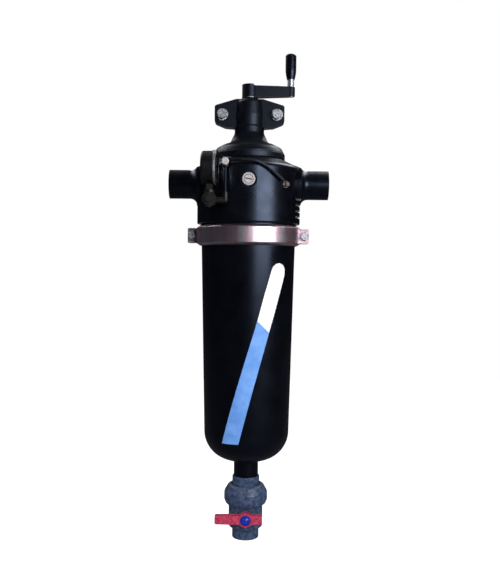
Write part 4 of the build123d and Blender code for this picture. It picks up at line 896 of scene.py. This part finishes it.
def makeGaugeRim(values, seat):
    radius, low, high = values["radius"], values["ringBack"], values["ringFront"]
    inner = radius - values["inside"]
    profile = [(radius - inset, values[edge] + along) for edge, inset, along in values["outline"]]
    points, faces = lathed(profile)
    spot = lookingOut(seat["centre"], gaugeWayOut(seat))
    rim = newPiece(
        "gaugeRim", placed(points, spot), faces, "vessel", "black_plastic", "gaugeBlack"
    )
    inward = spot.inverted()

    def onRing(centre):
        local = inward @ centre
        return low < local.z < high and local.xy.length > inner

    addFinish(rim, "zincPlate", onRing)
    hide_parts("gauge_bezel")


makeGaugeRim(gaugeRim, gaugeSeat)

# round faces, metres from the head's skin: the pale plug in the head, and the tee's pale cover
plugFace = {
    "centre": (0, -0.1100, 0.7417), "radius": 0.0126, "thick": 0.0045, "tail": 0.012,
    "tailInset": 0.0022, "bevel": 0.0012, "bevelCut": 0.0004, "dome": 0.0001,
    "flat": 0.003, "ringRadius": 0.0088, "ringWidth": 0.0011, "ringDepth": 0.0013,
    "ringFloor": 0.7, "slot": (0.0135, 0.0026), "slotDepth": 0.0022, "slotTurn": -12,
    "cutterAbove": 0.001,
    "shadedGrooveBand": (0.0024, 0.0005),  # depths between which a face of the ring groove or slot is painted dark as shade
    "shadedGrooveInset": 0.002,
}
teeCover = {
    "centre": (-0.0457, -0.1108, 0.7755), "radius": 0.0073, "thick": 0.0036, "sides": 64,
    "tail": 0.003, "tailInset": 0.0012, "seat": 0.0002, "bevel": 0.0012,
    "bevelCut": (0.0005, 0.0004), "rim": 0.0015,
    "dish": (0.45, 0.4),  # shares of the radius
    "dishDepths": (0.0003, 0.0009, 0.001),
}


def slotCutter(spot, values):
    length, width = (n / 2 for n in values["slot"])
    top = values["thick"] + values["cutterAbove"]
    bottom = values["thick"] - values["slotDepth"]
    outline = ((-length, -width), (length, -width), (length, width), (-length, width))
    corners = [(x, y, z) for z in (bottom, top) for x, y in outline]
    sides = [(3, 2, 1, 0), (4, 5, 6, 7), (0, 1, 5, 4), (1, 2, 6, 5), (2, 3, 7, 6), (3, 0, 4, 7)]
    turned = spot @ Matrix.Rotation(math.radians(values["slotTurn"]), 4, "Z")
    mesh = bpy.data.meshes.new("slotCutter")
    mesh.from_pydata(placed(corners, turned), [], sides)
    cutter = bpy.data.objects.new("slotCutter", mesh)
    scene.collection.objects.link(cutter)
    return cutter


def makePlugFace(values):
    radius, thick = values["radius"], values["thick"]
    ring, half = values["ringRadius"], values["ringWidth"] / 2
    neck, tail = radius - values["tailInset"], -values["tail"]
    floor, floorHalf = thick - values["ringDepth"], half * values["ringFloor"]
    bevel, cutBack = values["bevel"], values["bevelCut"]
    crown = thick + values["dome"]
    points, faces = lathed([
        (0, tail), (neck, tail), (neck, 0), (radius, 0),
        (radius, thick - bevel), (radius - cutBack, thick - cutBack), (radius - bevel, thick),
        (ring + half, thick), (ring + floorHalf, floor), (ring - floorHalf, floor),
        (ring - half, thick), (values["flat"], crown), (nearAxis, crown),
    ])
    spot = lookingOut(values["centre"], (0, -1, 0))
    plug = newPiece(
        "plugFace", placed(points, spot), faces, "vessel", "grey_plastic", "greyAcetal"
    )
    cutter = slotCutter(spot, values)
    cut = plug.modifiers.new("slot", "BOOLEAN")
    cut.object, cut.operation, cut.solver = cutter, "DIFFERENCE", "EXACT"
    seen = bpy.context.evaluated_depsgraph_get()
    shaped = bpy.data.meshes.new_from_object(plug.evaluated_get(seen))
    plug.modifiers.clear()
    plug.data = shaped
    bpy.data.objects.remove(cutter)
    shaped.materials.clear()
    shaped.materials.append(finishes["greyAcetal"])
    inward = spot.inverted()
    deep, shallow = values["shadedGrooveBand"]

    def inShadedGroove(centre):
        local = inward @ centre
        level = thick - deep < local.z < thick - shallow
        return level and local.xy.length < radius - values["shadedGrooveInset"]

    # the faces of the ring groove and the slot take the dark rubber finish as painted shade
    addFinish(plug, "sealRubber", inShadedGroove)
    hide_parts("front_plug")


def makeTeeCover(values):
    radius, thick = values["radius"], values["thick"]
    neck, tail = radius - values["tailInset"], -values["tail"]
    cutIn, cutDown = values["bevelCut"]
    dishRim, dishFloor = (radius * share for share in values["dish"])
    rimDepth, floorDepth, middleDepth = values["dishDepths"]
    points, faces = lathed([
        (nearAxis, tail), (neck, tail), (neck, 0), (radius, values["seat"]),
        (radius, thick - values["bevel"]), (radius - cutIn, thick - cutDown),
        (radius - values["rim"], thick), (dishRim, thick - rimDepth),
        (dishFloor, thick - floorDepth), (nearAxis, thick - middleDepth),
    ], values["sides"])
    spot = lookingOut(values["centre"], (0, -1, 0))
    newPiece("teeCover", placed(points, spot), faces, "vessel", "grey_plastic", "greyAcetal")


makePlugFace(plugFace)
makeTeeCover(teeCover)
print("gauge rim, plug and tee cover made")


# scale of the gauge, printed on the dial, which faces the outlet's side; metres and degrees
gaugeScale = {
    "face": 0.00503,  # how far the printed side is from the middle of the case
    "outer": 0.0262, "long": 0.0044, "short": 0.0024, "longEvery": 5, "longWidth": 0.0006,
    "shortWidth": 0.0003, "lineWidth": 0.0004, "lineSteps": 90,
    "zero": -45,  # where the pointer rests
    "arc": 270, "tenths": 50, "numbers": 6, "numberStep": 2, "numberRadius": 0.0175,
    "numberSize": 0.0052,
}


def dialPlace(values, seat):
    # local x across the dial, y up, z out of its face
    out = gaugeWayOut(seat)
    return lookingOut(Vector(seat["centre"]) + out * values["face"], out)


def onDial(angle, radius):
    return Vector((radius * math.cos(angle), radius * math.sin(angle), 0))


def dialAngle(values, step, steps):
    return math.radians(values["zero"] - values["arc"] * step / steps)


def tickPoints(angle, inner, outer, width):
    along = onDial(angle, 1)
    side = Vector((-math.sin(angle), math.cos(angle), 0)) * width / 2
    return [
        along * inner - side, along * outer - side, along * outer + side, along * inner + side,
    ]


def makeScale(values, seat):
    spot = dialPlace(values, seat)
    outer, lineSteps = values["outer"], values["lineSteps"]
    points, faces = [], []
    for k in range(values["tenths"] + 1):
        kind = "short" if k % values["longEvery"] else "long"
        angle = dialAngle(values, k, values["tenths"])
        start = len(points)
        points += tickPoints(angle, outer - values[kind], outer, values[kind + "Width"])
        faces.append(tuple(range(start, start + 4)))
    start = len(points)
    for k in range(lineSteps + 1):
        angle = dialAngle(values, k, lineSteps)
        points += [onDial(angle, outer), onDial(angle, outer + values["lineWidth"])]
    for corner in range(start, start + 2 * lineSteps, 2):
        faces.append((corner, corner + 1, corner + 3, corner + 2))
    newPiece(
        "gaugeTicks", placed(points, spot), faces, "vessel", "black_plastic", "dialInk", False
    )
    for k in range(values["numbers"]):
        angle = dialAngle(values, k, values["numbers"] - 1)
        text = bpy.data.curves.new("gaugeNumber", "FONT")
        text.body = str(k * values["numberStep"])
        text.size = values["numberSize"]
        text.align_x, text.align_y = "CENTER", "CENTER"
        shape = bpy.data.objects.new("gaugeNumber", text)
        scene.collection.objects.link(shape)
        bpy.context.view_layer.update()
        mesh = bpy.data.meshes.new_from_object(shape)
        bpy.data.objects.remove(shape)
        centre = onDial(angle, values["numberRadius"])
        mesh.transform(spot @ Matrix.Translation(centre))
        number = bpy.data.objects.new("gaugeNumber" + str(k), mesh)
        scene.collection.objects.link(number)
        mesh.materials.clear()
        mesh.materials.append(finishes["dialInk"])
        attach(number, "vessel")


makeScale(gaugeScale, gaugeSeat)
print("gauge scale printed")
